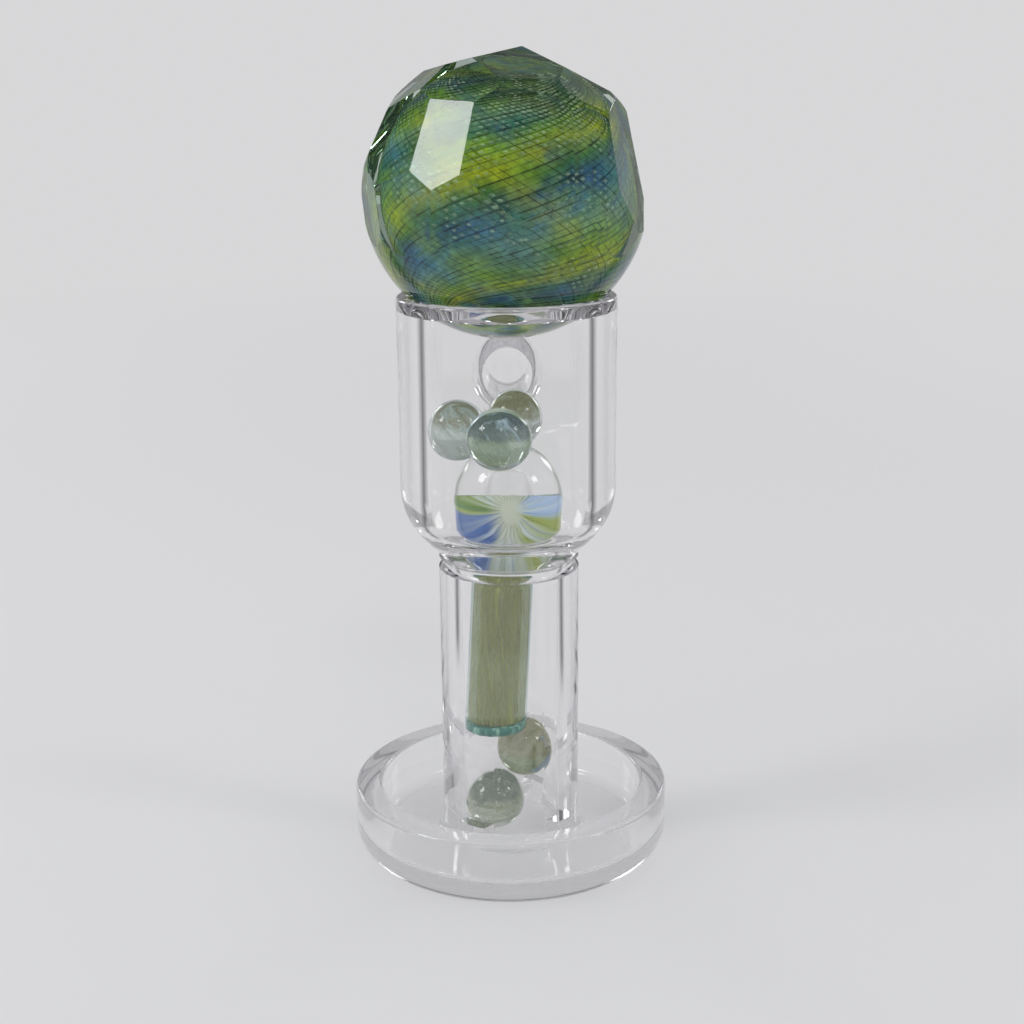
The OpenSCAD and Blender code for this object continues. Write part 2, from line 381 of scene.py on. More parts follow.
class Bench:
    """A node tree with short ways to add, set and link its nodes."""

    def __init__(self, tree: Tree) -> None:
        """Takes the tree that it works on."""
        self.tree = tree

    def add(self, kind: str, settings: dict[str, object] | None = None, **inputs: object) -> Node:
        """Adds a node.

        Args:
            kind: The node's type, without the ShaderNode prefix.
            settings: Properties of the node itself.
            **inputs: Values or sockets for its inputs, with underscores for spaces.

        Returns:
            The new node.
        """
        node = self.tree.nodes.new(kind if kind.startswith("Node") else "ShaderNode" + kind)
        for key, value in (settings or {}).items():
            setattr(node, key, value)
        for key, value in inputs.items():
            self.feed(node, key.replace("_", " "), value)
        return node

    def feed(self, node: Node, name: str | int, value: object) -> None:
        """Sets one input of a node to a value, or links a socket to it.

        Args:
            node: The node.
            name: The input's name, or its number, which may follow "in".
            value: The value or the socket.
        """
        if isinstance(name, str) and name.startswith("in") and name[2:].isdigit():
            name = int(name[2:])
        socket = node.inputs[name]
        if isinstance(value, Socket):
            self.tree.links.new(value, socket)
        else:
            socket.default_value = value

    def math(self, operation: str, a: object, b: object = 0.0, c: object = 0.0) -> Socket:
        """Does one sum on numbers or sockets."""
        return self.add("Math", {"operation": operation}, in0=a, in1=b, in2=c).outputs[0]

    def times(self, a: object, b: object) -> Socket:
        """Multiplies two numbers or sockets."""
        return self.math("MULTIPLY", a, b)

    def coords(self) -> Socket:
        """Object coordinates of the piece."""
        return self.add("TexCoord").outputs["Object"]

    def split(self, vector: object) -> tuple[Socket, Socket, Socket]:
        """The three parts of a vector."""
        x, y, z = self.add("SeparateXYZ", Vector=vector).outputs
        return x, y, z

    def vector(self, x: object, y: object, z: object) -> Socket:
        """A vector made of three parts."""
        return self.add("CombineXYZ", X=x, Y=y, Z=z).outputs[0]

    def unit(self, vector: object) -> Socket:
        """A vector brought to length one."""
        return self.add("VectorMath", {"operation": "NORMALIZE"}, in0=vector).outputs[0]

    def length(self, vector: object) -> Socket:
        """Length of a vector."""
        return self.add("VectorMath", {"operation": "LENGTH"}, in0=vector).outputs["Value"]

    def noise(self, vector: object, scale: object, detail: float) -> Socket:
        """Soft noise between 0 and 1."""
        return self.add("TexNoise", Vector=vector, Scale=scale, Detail=detail).outputs[0]

    def span(
        self, value: object, low: float, high: float, bottom: float = 0.0, top: float = 1.0
    ) -> Socket:
        """Carries a range of values evenly over to another one, and stops at its ends."""
        given = {"From_Min": low, "From_Max": high, "To_Min": bottom, "To_Max": top}
        return self.add("MapRange", Value=value, **given).outputs[0]

    def ease(self, value: object, low: float, high: float, top: float = 1.0) -> Socket:
        """Rises softly from 0 at the low value to the top at the high value."""
        smooth = {"interpolation_type": "SMOOTHSTEP"}
        return self.add(
            "MapRange", smooth, Value=value, From_Min=low, From_Max=high, To_Max=top
        ).outputs[0]

    def mix(self, factor: object, a: object, b: object) -> Socket:
        """Mixes two colours.

        Args:
            factor: Share of the second colour.
            a: The first colour.
            b: The second colour.

        Returns:
            The mixed colour.
        """
        first, second = (c if isinstance(c, Socket) else (*c, 1) for c in (a, b))
        node = self.add("Mix", {"data_type": "RGBA"}, in0=factor, in6=first, in7=second)
        return node.outputs[2]

    def ramp(self, factor: object, stops: list[tuple[float, Colour]]) -> Socket:
        """Turns a number into a colour along a list of stops.

        Args:
            factor: The number.
            stops: Places between 0 and 1, each with its colour.

        Returns:
            The colour.
        """
        node = self.add("ValToRGB", in0=factor)
        elements = node.color_ramp.elements
        while len(elements) < len(stops):
            elements.new(0.5)
        for element, (position, colour) in zip(elements, stops):
            element.position = position
            element.color = (*colour, 1)
        return node.outputs[0]

    def use(self, tree: Tree, **inputs: object) -> Node:
        """Places a node group and sets its inputs."""
        return self.add("Group", {"node_tree": tree}, **inputs)

    def local(self, centre: Vector, size: float, turn: Angles = (0.0, 0.0, 0.0)) -> Socket:
        """Object coordinates about a centre.

        Args:
            centre: The centre.
            size: What counts as one.
            turn: Turn that is taken back, in degrees.

        Returns:
            The coordinates.
        """
        moved = self.add(
            "VectorMath", {"operation": "SUBTRACT"}, in0=self.coords(), in1=tuple(centre)
        )
        node = self.add("Mapping", {"vector_type": "POINT"}, Vector=moved.outputs[0])
        node.inputs["Rotation"].default_value = tuple(math.radians(a) for a in turn)
        node.inputs["Scale"].default_value = (1 / size,) * 3
        return node.outputs[0]

    def sealed(self, colour: Socket, roughness: float, alpha: Socket | None = None) -> None:
        """Ends the tree of coloured glass that is sealed in clear glass, without a gloss of its own.

        Args:
            colour: Its colour.
            roughness: Its roughness.
            alpha: How much it hides, or none where it hides all.
        """
        body = self.add("BsdfPrincipled", Base_Color=colour, Roughness=roughness)
        self.feed(body, "Specular IOR Level", 0.0)
        if alpha is not None:
            self.feed(body, "Alpha", alpha)
        self.add("OutputMaterial", Surface=body.outputs[0])


def new_material(name: str) -> tuple[Material, Bench]:
    """Makes an empty node material.

    Args:
        name: The material's name.

    Returns:
        The material and a bench on its tree.
    """
    material = bpy.data.materials.new(name)
    material.use_nodes = True
    material.node_tree.nodes.clear()
    return material, Bench(material.node_tree)


def dress(obj: Piece, material: Material) -> None:
    """Gives a piece one material all over."""
    obj.data.materials.clear()
    obj.data.materials.append(material)


def place(obj: Piece, material: Material, body: str, slot: str, *nodes: str) -> None:
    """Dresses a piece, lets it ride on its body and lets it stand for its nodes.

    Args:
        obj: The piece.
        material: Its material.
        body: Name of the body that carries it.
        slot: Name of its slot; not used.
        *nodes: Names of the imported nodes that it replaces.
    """
    dress(obj, material)
    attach(obj, body)
    if nodes:
        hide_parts(*nodes)
    log.info("placed %s on %s", obj.name, body)


# ---------------------------------------------------------------- shared effects


def group(name: str, inputs: dict[str, str], outputs: dict[str, str]) -> tuple[Bench, Node, Node]:
    """Opens a new node group.

    Args:
        name: The group's name.
        inputs: Names of its inputs, each with Float, Vector or Color.
        outputs: Names of its outputs, in the same way.

    Returns:
        A bench on the group, its input node and its output node.
    """
    tree = bpy.data.node_groups.new(name, "ShaderNodeTree")
    for key, kind in inputs.items():
        tree.interface.new_socket(key, in_out="INPUT", socket_type="NodeSocket" + kind)
    for key, kind in outputs.items():
        tree.interface.new_socket(key, in_out="OUTPUT", socket_type="NodeSocket" + kind)
    bench = Bench(tree)
    return bench, bench.add("NodeGroupInput"), bench.add("NodeGroupOutput")


def ripple_group() -> Tree:
    """Slow waves that the flame leaves on polished glass.

    Returns:
        The node group, built once.
    """
    if "flame_ripple" in bpy.data.node_groups:
        return bpy.data.node_groups["flame_ripple"]
    bench, given, made = group(
        "flame_ripple", {"Vector": "Vector", "Scale": "Float"}, {"Height": "Float"}
    )
    vector, scale = given.outputs["Vector"], given.outputs["Scale"]
    slow = bench.noise(vector, scale, 1.0)
    quick = bench.noise(vector, bench.times(scale, 3.1), 0.0)
    bench.feed(made, "Height", bench.math("MULTIPLY_ADD", quick, 0.25, slow))
    return bench.tree


def streak_group() -> Tree:
    """Streaks of drawn glass along the Z axis of the vector that it gets.

    Returns:
        The node group, built once.
    """
    if "drawn_streaks" in bpy.data.node_groups:
        return bpy.data.node_groups["drawn_streaks"]
    bench, given, made = group(
        "drawn_streaks",
        {"Vector": "Vector", "Density": "Float", "Stretch": "Float", "Threshold": "Float"},
        {"Mask": "Float", "Fine": "Float"},
    )
    density = given.outputs["Density"]
    squeeze = bench.vector(1.0, 1.0, given.outputs["Stretch"])
    drawn = bench.add(
        "VectorMath", {"operation": "MULTIPLY"}, in0=given.outputs["Vector"], in1=squeeze
    ).outputs[0]
    wide = bench.noise(drawn, density, 2.0)
    rise = bench.math("SUBTRACT", wide, given.outputs["Threshold"])
    bench.feed(made, "Mask", bench.add("Clamp", Value=bench.times(rise, 7.0)).outputs[0])
    bench.feed(made, "Fine", bench.noise(drawn, bench.times(density, 4.0), 1.0))
    return bench.tree


# ---------------------------------------------------------------- finishes


@dataclass(frozen=True)
class ClearGlass:
    """Polished clear glass, which lets the lamps' light through to what is in it.

    Attributes:
        name: The material's name.
        tint: Colour that one surface lets through.
        ior: Index of refraction.
        ripple: Strength of the flame's slow waves.
        wave: Length of those waves, in metres.
        shade: Colour of the light that gets through to what is behind.
        absorb: Colour that deep glass takes on.
        density: How soon it takes it on, or none where it stays clear.
    """

    name: str
    tint: Colour = (1.0, 1.0, 1.0)
    ior: float = 1.47
    ripple: float = 0.05
    wave: float = 5 * MM
    shade: Colour = (0.97, 0.97, 0.97)
    absorb: Colour = (0.8, 0.8, 0.8)
    density: float = 0.0

    def roughness(self, bench: Bench) -> object:
        """Roughness of the surface, plain on a polished piece."""
        return 0.0

    def material(self) -> Material:
        """Builds the node material.

        Returns:
            The material.
        """
        material, bench = new_material(self.name)
        waves = bench.use(ripple_group(), Vector=bench.coords(), Scale=1 / self.wave).outputs[0]
        bump = bench.add("Bump", Strength=self.ripple, Distance=0.1 * MM, Height=waves)
        glass = bench.add(
            "BsdfPrincipled",
            Base_Color=(*self.tint, 1),
            Roughness=self.roughness(bench),
            IOR=self.ior,
            Transmission_Weight=1.0,
            Normal=bump.outputs[0],
        )
        path = bench.add("LightPath")
        passing = bench.math("MAXIMUM", path.outputs["Is Shadow Ray"], path.outputs["Is Diffuse Ray"])
        clear = bench.add("BsdfTransparent", Color=(*self.shade, 1))
        mixed = bench.add("MixShader", Fac=passing, in1=glass.outputs[0], in2=clear.outputs[0])
        output = bench.add("OutputMaterial", Surface=mixed.outputs[0])
        if self.density:
            depth = bench.add("VolumeAbsorption", Color=(*self.absorb, 1), Density=self.density)
            bench.feed(output, "Volume", depth.outputs[0])
        return material


@dataclass(frozen=True)
class NailQuartz(ClearGlass):
    """Fire-polished quartz, ground matt on the taper that goes into a socket.

    Attributes:
        joint_y: Where the ground joint's axis stands behind the cup.
        joint_top: Height of the joint's upper end.
        joint_reach: Radius within which the surface is the joint's.
        joint_inner: Radius of the bore, which stays polished.
        matt: Roughness of the ground surface, between its turned lines and in them.
        line_density: How close the turned lines are, per metre.
    """

    joint_y: float = 28 * MM
    joint_top: float = 48 * MM
    joint_reach: float = 5.4 * MM
    joint_inner: float = 3.6 * MM
    matt: tuple[float, float] = (0.26, 0.51)
    line_density: float = 9000.0

    def roughness(self, bench: Bench) -> object:
        """Matt on the joint's outside, with fine turned lines, and polished elsewhere.

        Args:
            bench: The node tree that gets the sums.

        Returns:
            The roughness.
        """
        coords = bench.coords()
        axis = bench.add("VectorMath", {"operation": "SUBTRACT"}, in0=coords, in1=(0, self.joint_y, 0))
        x, y, z = bench.split(axis.outputs[0])
        away = bench.length(bench.vector(x, y, 0.0))
        near = bench.math("LESS_THAN", away, self.joint_reach)
        outside = bench.math("GREATER_THAN", away, self.joint_inner)
        below = bench.math("LESS_THAN", z, self.joint_top)
        where = bench.times(bench.times(near, outside), below)
        lines = bench.noise(coords, self.line_density, 1.0)
        plain, lined = self.matt
        return bench.times(where, bench.math("MULTIPLY_ADD", lines, lined - plain, plain))


def lattice_phase(bench: Bench, unit: Socket, pitch: float) -> tuple[Socket, Socket]:
    """Angles round the axis that stay the same along the rising and the falling canes.

    Args:
        bench: The node tree that gets the sums.
        unit: The place on the core, as a vector of length one.
        pitch: Climb of a cane, in degrees.

    Returns:
        The angle of the rising cane and of the falling cane through the place.
    """
    x, y, z = bench.split(unit)
    short_of_pole = 0.995
    z = bench.times(z, short_of_pole)
    around = bench.math("ARCTAN2", y, x)
    ratio = bench.math("DIVIDE", bench.math("ADD", 1.0, z), bench.math("SUBTRACT", 1.0, z))
    climb = bench.math("LOGARITHM", ratio, math.e)
    climb = bench.times(climb, 0.5 / math.tan(math.radians(pitch)))
    return bench.math("SUBTRACT", around, climb), bench.math("ADD", around, climb)


class Band(Enum):
    """Colours of the canes in the cap marble."""

    YELLOW = (0.37, 0.43, 0.012)
    LIME = (0.20, 0.37, 0.035)
    LEAF = (0.063, 0.19, 0.036)
    TEAL = (0.037, 0.16, 0.12)
    NAVY = (0.023, 0.085, 0.20)
    SKY = (0.063, 0.21, 0.32)
    SAGE = (0.18, 0.33, 0.19)


RISING_BANDS = (
    (0.00, Band.TEAL),
    (0.08, Band.LIME),
    (0.16, Band.YELLOW),
    (0.23, Band.LEAF),
    (0.30, Band.NAVY),
    (0.36, Band.SKY),
    (0.43, Band.SAGE),
    (0.52, Band.LIME),
    (0.60, Band.YELLOW),
    (0.66, Band.TEAL),
    (0.72, Band.NAVY),
    (0.79, Band.LEAF),
    (0.86, Band.LIME),
    (0.93, Band.SAGE),
    (1.00, Band.TEAL),
)
FALLING_BANDS = (
    (0.00, Band.LIME),
    (0.09, Band.TEAL),
    (0.17, Band.SKY),
    (0.25, Band.LEAF),
    (0.34, Band.YELLOW),
    (0.42, Band.LIME),
    (0.50, Band.NAVY),
    (0.57, Band.TEAL),
    (0.66, Band.SAGE),
    (0.75, Band.YELLOW),
    (0.83, Band.LEAF),
    (0.91, Band.SKY),
    (1.00, Band.LIME),
)


def band_group(pitch: float) -> Tree:
    """Colours of the canes that wind round the core, with painted shade that darkens them towards the upper
    pole.

    Args:
        pitch: Climb of a cane, in degrees.

    Returns:
        The node group, built once.
    """
    if "cane_bands" in bpy.data.node_groups:
        return bpy.data.node_groups["cane_bands"]
    bench, given, made = group("cane_bands", {"Vector": "Vector"}, {"Colour": "Color"})
    unit = bench.unit(given.outputs["Vector"])
    rising, falling = lattice_phase(bench, unit, pitch)
    sway = bench.noise(unit, 2.6, 3.0)
    shift = bench.math("MULTIPLY_ADD", sway, 0.55, 0.225)
    turn = bench.math("FRACT", bench.times(bench.math("ADD", rising, shift), 1 / math.tau))
    main = bench.ramp(turn, [(place, band.value) for place, band in RISING_BANDS])
    other = bench.math("FRACT", bench.math("MULTIPLY_ADD", falling, 1 / math.tau, 0.15))
    under = bench.ramp(other, [(place, band.value) for place, band in FALLING_BANDS])
    share = bench.span(bench.noise(unit, 3.4, 3.0), 0.42, 0.58, 0.15, 0.55)
    both = bench.mix(share, main, under)
    course = bench.vector(
        bench.times(bench.math("COSINE", rising), 5.0),
        bench.times(bench.math("SINE", rising), 5.0),
        bench.times(bench.math("SINE", falling), 0.7),
    )
    dark = bench.span(bench.noise(course, 1.6, 3.0), 0.5, 0.66, top=0.55)
    lined = bench.mix(dark, both, (0.04, 0.13, 0.07))
    # painted shade: the colour grows dark towards the core's upper pole, for the dark crown
    painted_crown_shade = bench.ease(bench.split(unit)[2], 0.66, 0.86, top=0.72)
    bench.feed(made, "Colour", bench.mix(painted_crown_shade, lined, (0.055, 0.10, 0.050)))
    return bench.tree


@dataclass(frozen=True)
class NetCore:
    """Coloured glass of the cap marble's core, in winding bands.

    Attributes:
        name: The material's name.
        centre: Middle of the core.
        radius: Radius of the core.
        pitch: Climb of the canes, in degrees.
        tilt: Tilt of the winding axis, in degrees.
        gain: How much lighter or darker than the bands it is.
        pale: Share of a pale green mixed in, painted as the shine of the air in the bubbles.
        cover: How much it hides.
    """

    name: str
    centre: Vector
    radius: float
    pitch: float
    tilt: Angles
    gain: float = 1.0
    pale: float = 0.0
    cover: float = 1.0

    def material(self) -> Material:
        """Builds the node material.

        Returns:
            The material.
        """
        material, bench = new_material(self.name)
        spot = bench.local(self.centre, self.radius, self.tilt)
        bands = bench.use(band_group(self.pitch), Vector=spot)
        light = bench.span(bench.noise(spot, 14.0, 3.0), 0.3, 0.7, 0.75, 1.3)
        level = bench.times(light, self.gain)
        shade = bench.add("CombineColor", Red=level, Green=level, Blue=level)
        settings = {"data_type": "RGBA", "blend_type": "MULTIPLY", "clamp_result": True}
        node = bench.add("Mix", settings, in0=1.0, in6=bands.outputs["Colour"], in7=shade.outputs[0])
        colour = node.outputs[2]
        # painted reflection: the pale green stands for the shine of air bubbles
        if self.pale:
            colour = bench.mix(self.pale, colour, (0.46, 0.60, 0.42))
        alpha = None
        if self.cover < 1:
            spread = bench.noise(spot, 9.0, 1.0)
            hiding = bench.math("MULTIPLY_ADD", spread, 3.0, self.cover - 1.5)
            alpha = bench.add("Clamp", Value=hiding, Min=0.08, Max=0.9).outputs[0]
        bench.sealed(colour, 0.45, alpha)
        return material


@dataclass(frozen=True)
class Bubble:
    """Painted shine of a small air bubble: a pale colour for the light that its surface reflects, lighter
    and darker by its place.

    Attributes:
        name: The material's name.
        colour: Its lighter colour.
    """

    name: str
    colour: Colour

    def material(self) -> Material:
        """Builds the node material.

        Returns:
            The material.
        """
        material, bench = new_material(self.name)
        patches = bench.noise(bench.coords(), 350.0, 0.0)
        dim = tuple(part * 0.45 for part in self.colour)
        colour = bench.mix(bench.math("MULTIPLY_ADD", patches, 2.4, -0.7), dim, self.colour)
        body = bench.add("BsdfPrincipled", Base_Color=colour, Roughness=0.2)
        bench.add("OutputMaterial", Surface=body.outputs[0])
        return material


@dataclass(frozen=True)
class Threads:
    """How the coloured glass in a veil was laid and drawn out.

    Attributes:
        high: Colour of its upper part.
        low: Colour of its lower part.
        streak: Colour of the streaks.
        turn: Direction of the streaks, in degrees.
        density: How close the streaks are.
        stretch: How short the streaks are along their length.
        cover: How much the veil hides, above and below.
        amount: Level that the streaks' noise has to pass.
        split: Height at which the upper colour takes over.
    """

    high: Colour
    low: Colour
    streak: Colour
    turn: Angles = (0.0, 0.0, 0.0)
    density: float = 5.0
    stretch: float = 0.15
    cover: tuple[float, float] = (0.75, 0.45)
    amount: float = 0.52
    split: float = 0.05


@dataclass(frozen=True)
class Veil:
    """Thin coloured glass inside a pearl or the pillar, streaked and partly clear.

    Attributes:
        name: The material's name.
        centre: Middle of the piece.
        radius: Half its width.
        threads: How its glass was laid.
    """

    name: str
    centre: Vector
    radius: float
    threads: Threads

    def material(self) -> Material:
        """Builds the node material.

        Returns:
            The material.
        """
        laid = self.threads
        material, bench = new_material(self.name)
        upright = bench.local(self.centre, self.radius)
        drawn = bench.local(self.centre, self.radius, laid.turn)
        height = bench.split(upright)[2]
        sway = bench.noise(upright, 1.7, 2.0)
        level = bench.math("MULTIPLY_ADD", sway, 0.5, bench.math("SUBTRACT", height, laid.split + 0.25))
        upper = bench.ease(level, -0.2, 0.2)
        streaks = bench.use(
            streak_group(),
            Vector=drawn,
            Density=laid.density,
            Stretch=laid.stretch,
            Threshold=laid.amount,
        )
        mask = streaks.outputs["Mask"]
        colour = bench.mix(mask, bench.mix(upper, laid.low, laid.high), laid.streak)
        hiding = bench.span(upper, 0.0, 1.0, laid.cover[1], laid.cover[0])
        thin = bench.math("MULTIPLY_ADD", streaks.outputs["Fine"], 0.5, -0.25)
        alpha = bench.math("ADD", bench.math("MULTIPLY_ADD", mask, 0.22, thin), hiding)
        bench.sealed(colour, 0.35, bench.add("Clamp", Value=alpha).outputs[0])
        return material


@dataclass(frozen=True)
class Petals:
    """Colours of the blossom in the valve marble, by the angle round its heart.

    Attributes:
        name: The material's name.
        centre: Middle of the marble.
        radius: Radius of the blossom.
        turn: Turn that brings the heart of the blossom to the Z axis, in degrees.
    """

    name: str
    centre: Vector
    radius: float
    turn: Angles

    def material(self) -> Material:
        """Builds the node material.

        Returns:
            The material.
        """
        material, bench = new_material(self.name)
        x, y, _ = bench.split(bench.local(self.centre, self.radius, self.turn))
        around = bench.math("ARCTAN2", y, x)
        part = bench.math("FRACT", bench.math("MULTIPLY_ADD", around, 1 / math.tau, 0.5))
        lime = (0.36, 0.45, 0.08)
        grass = (0.12, 0.26, 0.06)
        blue = (0.035, 0.13, 0.42)
        pale = (0.56, 0.64, 0.52)
        ice = (0.42, 0.60, 0.85)
        colour = bench.ramp(
            part,
            [
                (0.00, grass),
                (0.012, lime),
                (0.022, blue),
                (0.165, blue),
                (0.185, pale),
                (0.29, pale),
                (0.31, lime),
                (0.445, lime),
                (0.46, ice),
                (0.56, ice),
                (0.60, pale),
                (0.89, pale),
                (0.92, lime),
                (1.00, grass),
            ],
        )
        ring = bench.vector(bench.math("COSINE", around), bench.math("SINE", around), 0.0)
        streaks = bench.use(streak_group(), Vector=ring, Density=3.4, Stretch=0.0, Threshold=0.50)
        away = bench.length(bench.vector(x, bench.times(y, 0.55), 0.0))
        strength = bench.times(streaks.outputs["Mask"], bench.span(away, 0.3, 0.9, 0.9, 0.12))
        white = bench.mix(strength, colour, (0.66, 0.78, 0.80))
        dark = bench.span(streaks.outputs["Fine"], 0.56, 0.68, top=0.35)
        lined = bench.mix(dark, white, (0.05, 0.13, 0.24))
        heart = bench.ease(away, 0.05, 0.40)
        bench.sealed(bench.mix(heart, (0.62, 0.68, 0.54), lined), 0.35)
        return material


# ---------------------------------------------------------------- the nail

WELDED_QUARTZ = (
    "dish_floor",
    "dish_wall",
    "foot_fillet",
    "slurper_tube",
    "throat_weld",
    "cup_bowl",
    "cup_barrel",
    "neck_fillet",
    "neck_arm",
    "neck_elbow",
    "neck_drop",
    "ground_joint",
)


@dataclass
class QuartzNail:
    """The welded quartz: dish, tube, cup and neck, fused into one piece."""

    dish_d: float = 37.6 * MM
    dish_wall: float = 3.2 * MM
    dish_h: float = 8.3 * MM
    floor_t: float = 2.2 * MM
    dish_edge: float = 3.2 * MM
    lip: float = 0.5 * MM
    cove: float = 1.2 * MM
    melt: float = 0.25 * MM
    tube_d: float = 16.4 * MM
    tube_wall: float = 2.4 * MM
    tube_len: float = 33 * MM
    foot: float = 1.1 * MM
    slots: int = 4
    slot_w: float = 3.4 * MM
    slot_h: float = 2.6 * MM
    slot_turn: float = 55.0
    weld_h: float = 1.4 * MM
    weld_groove: float = 0.65 * MM
    cup_d: float = 25 * MM
    cup_wall: float = 3.1 * MM
    cup_h: float = 30.4 * MM
    cup_floor: float = 3.1 * MM
    ring_step: float = 1.5 * MM
    outer_rings: int = 13
    inner_rings: int = 12
    bowl: float = 8.4 * MM
    bowl_corner: float = 2.5 * MM
    throat_d: float = 10 * MM
    bevel: float = 2 * MM
    rim: float = 0.45 * MM
    neck_d: float = 9 * MM
    bore_d: float = 6.5 * MM
    neck_below_rim: float = 10.7 * MM
    neck_run: float = 8.5 * MM
    bend: float = 7 * MM
    bend_steps: int = 24
    drop: float = 1.3 * MM
    neck_fillet: float = 0.7 * MM
    shoulder: float = 0.05 * MM
    joint_d: float = 10 * MM
    joint_len: float = 14 * MM
    joint_taper: float = 10.0

    def __post_init__(self) -> None:
        """Works out the levels and radii that several shapes share."""
        self.tube_top = self.floor_t + self.tube_len
        self.bowl_z = self.tube_top + self.weld_h
        self.bowl_top = self.bowl_z + self.bowl
        self.cup_floor_z = self.bowl_z + self.cup_floor
        self.rim_z = self.bowl_z + self.cup_h
        self.neck_z = self.rim_z - self.neck_below_rim
        self.cup_r = self.cup_d / 2
        self.cup_in = self.cup_r - self.cup_wall
        self.tube_r = self.tube_d / 2
        self.bore_r = self.tube_r - self.tube_wall

    def section(self) -> Profile:
        """Draws the half section of everything but the neck and the slots.

        Returns:
            The profile, from the middle of the underside round to the middle of the dish's floor.
        """
        dish_r = self.dish_d / 2
        inner = dish_r - self.dish_wall
        foot_r = self.tube_r + self.foot
        groove = self.weld_h / 2
        dip = self.tube_r + groove - self.weld_groove
        half = math.degrees(math.acos((groove - self.weld_groove) / groove))
        skirt_centre = (self.cup_r - self.bowl, self.bowl_top)
        skirt_foot = skirt_centre[0] + self.bowl * (math.sqrt(2) - 1)
        melt = self.melt
        p = Profile().to(0, 0)
        p.arc((dish_r - self.dish_edge, self.dish_edge), self.dish_edge, -90, 0, 20)
        p.arc((dish_r - self.lip, self.dish_h - self.lip), self.lip, 0, 90, 6)
        p.arc((inner + self.lip, self.dish_h - self.lip), self.lip, 90, 180, 6)
        p.arc((inner - self.cove, self.floor_t + self.cove), self.cove, 0, -90, 8)
        p.arc((foot_r, self.floor_t + self.foot), self.foot, 270, 180, 8)
        p.arc((dip, self.tube_top + groove), groove, 180 + half, 180 - half, 10)
        p.arc((skirt_foot, self.bowl_z + melt), melt, -90, -45, 3)
        p.arc(skirt_centre, self.bowl, -45, 0, 20)
        for level in range(1, self.outer_rings + 1):
            p.to(self.cup_r, self.bowl_top + level * self.ring_step)
        p.arc((self.cup_r - self.rim, self.rim_z - self.rim), self.rim, 0, 90, 6)
        p.to(self.cup_in + self.bevel, self.rim_z)
        p.to(self.cup_in, self.rim_z - self.bevel)
        for level in range(self.inner_rings, 0, -1):
            p.to(self.cup_in, self.bowl_top + level * self.ring_step)
        corner = (self.cup_in - self.bowl_corner, self.cup_floor_z + self.bowl_corner)
        p.arc(corner, self.bowl_corner, 0, -90, 12)
        p.arc((self.throat_d / 2 + melt, self.cup_floor_z - melt), melt, 90, 180, 4)
        p.arc((self.throat_d / 2 + melt, self.bowl_z + melt), melt, 180, 270, 4)
        p.to(self.bore_r, self.bowl_z)
        p.arc((self.bore_r - melt, self.floor_t + melt), melt, 0, -90, 4)
        return p.to(0, self.floor_t)

    def neck_path(self, overshoot: float) -> list[Vector]:
        """Points along the middle of the bend, then down the joint.

        Args:
            overshoot: How far the path runs past the tip of the joint.

        Returns:
            The points from the start of the bend downwards.
        """
        bend_y = self.cup_r + self.neck_run
        drop_top = self.neck_z - self.bend
        points = []
        for k in range(self.bend_steps + 1):
            turn = math.pi / 2 * (1 - k / self.bend_steps)
            y = bend_y + self.bend * math.cos(turn)
            points.append(Vector((0, y, drop_top + self.bend * math.sin(turn))))
        joint_top = drop_top - self.drop
        tip = joint_top - self.joint_len
        y = bend_y + self.bend
        return points + [Vector((0, y, joint_top)), Vector((0, y, tip - overshoot))]

    def neck(self) -> Piece:
        """Bends the solid neck, from inside the cup's wall to the tip of the joint.

        Returns:
            The neck.
        """
        neck_r = self.neck_d / 2
        joint_r = self.joint_d / 2
        tip_r = joint_r - self.joint_len / self.joint_taper / 2
        path = self.neck_path(0)
        stations = [
            (Vector((0, self.cup_r - MM, self.neck_z)), neck_r + self.neck_fillet),
            (Vector((0, self.cup_r + self.neck_fillet, self.neck_z)), neck_r),
        ]
        stations += [(point, neck_r) for point in path[:-1]]
        stations += [(path[-2] - Vector((0, 0, self.shoulder)), joint_r), (path[-1], tip_r)]
        return pipe("neck", stations)

    def bore(self) -> Piece:
        """Makes the bar that opens the neck, from inside the cup to below the joint.

        Returns:
            The bar.
        """
        inside = 1.5 * MM
        path = [Vector((0, self.cup_in - inside, self.neck_z)), *self.neck_path(MM)]
        return pipe("bore", [(point, self.bore_d / 2) for point in path])

    def slot_cutter(self, turn: float) -> Piece:
        """Makes the block that opens one air slot.

        Args:
            turn: Where the slot is, in degrees round the tube.

        Returns:
            The block.
        """
        deselect_all()
        spare = 0.6 * MM
        sunk = 0.03 * MM
        reach = self.tube_r + self.foot + spare
        inner = self.bore_r - spare
        bpy.ops.mesh.primitive_cube_add(
            size=1,
            location=((reach + inner) / 2, 0, self.floor_t + (self.slot_h + sunk) / 2),
            scale=(reach - inner, self.slot_w, self.slot_h - sunk),
        )
        cutter = settle(start("slot"))
        edit(cutter)
        bpy.ops.transform.rotate(
            value=-math.radians(turn), orient_axis="Z", center_override=(0, 0, 0)
        )
        leave_edit()
        return cutter

    def build(self) -> None:
        """Fuses all the quartz into one piece, and dresses and places it."""
        nail = self.section().lathe("quartz_nail", steps=160)
        combine(nail, self.neck(), Meeting.WELD)
        combine(nail, self.bore(), Meeting.CUT)
        for k in range(self.slots):
            combine(nail, self.slot_cutter(self.slot_turn + 360 / self.slots * k), Meeting.CUT)
        shade(tidy_mesh(nail), 28)
        quartz = NailQuartz(
            "clear_quartz", ior=1.458, ripple=0.03, wave=9 * MM, absorb=(0.80, 0.79, 0.81), density=35
        )
        place(nail, quartz.material(), "nail", "quartz", *WELDED_QUARTZ)


# ---------------------------------------------------------------- the marbles


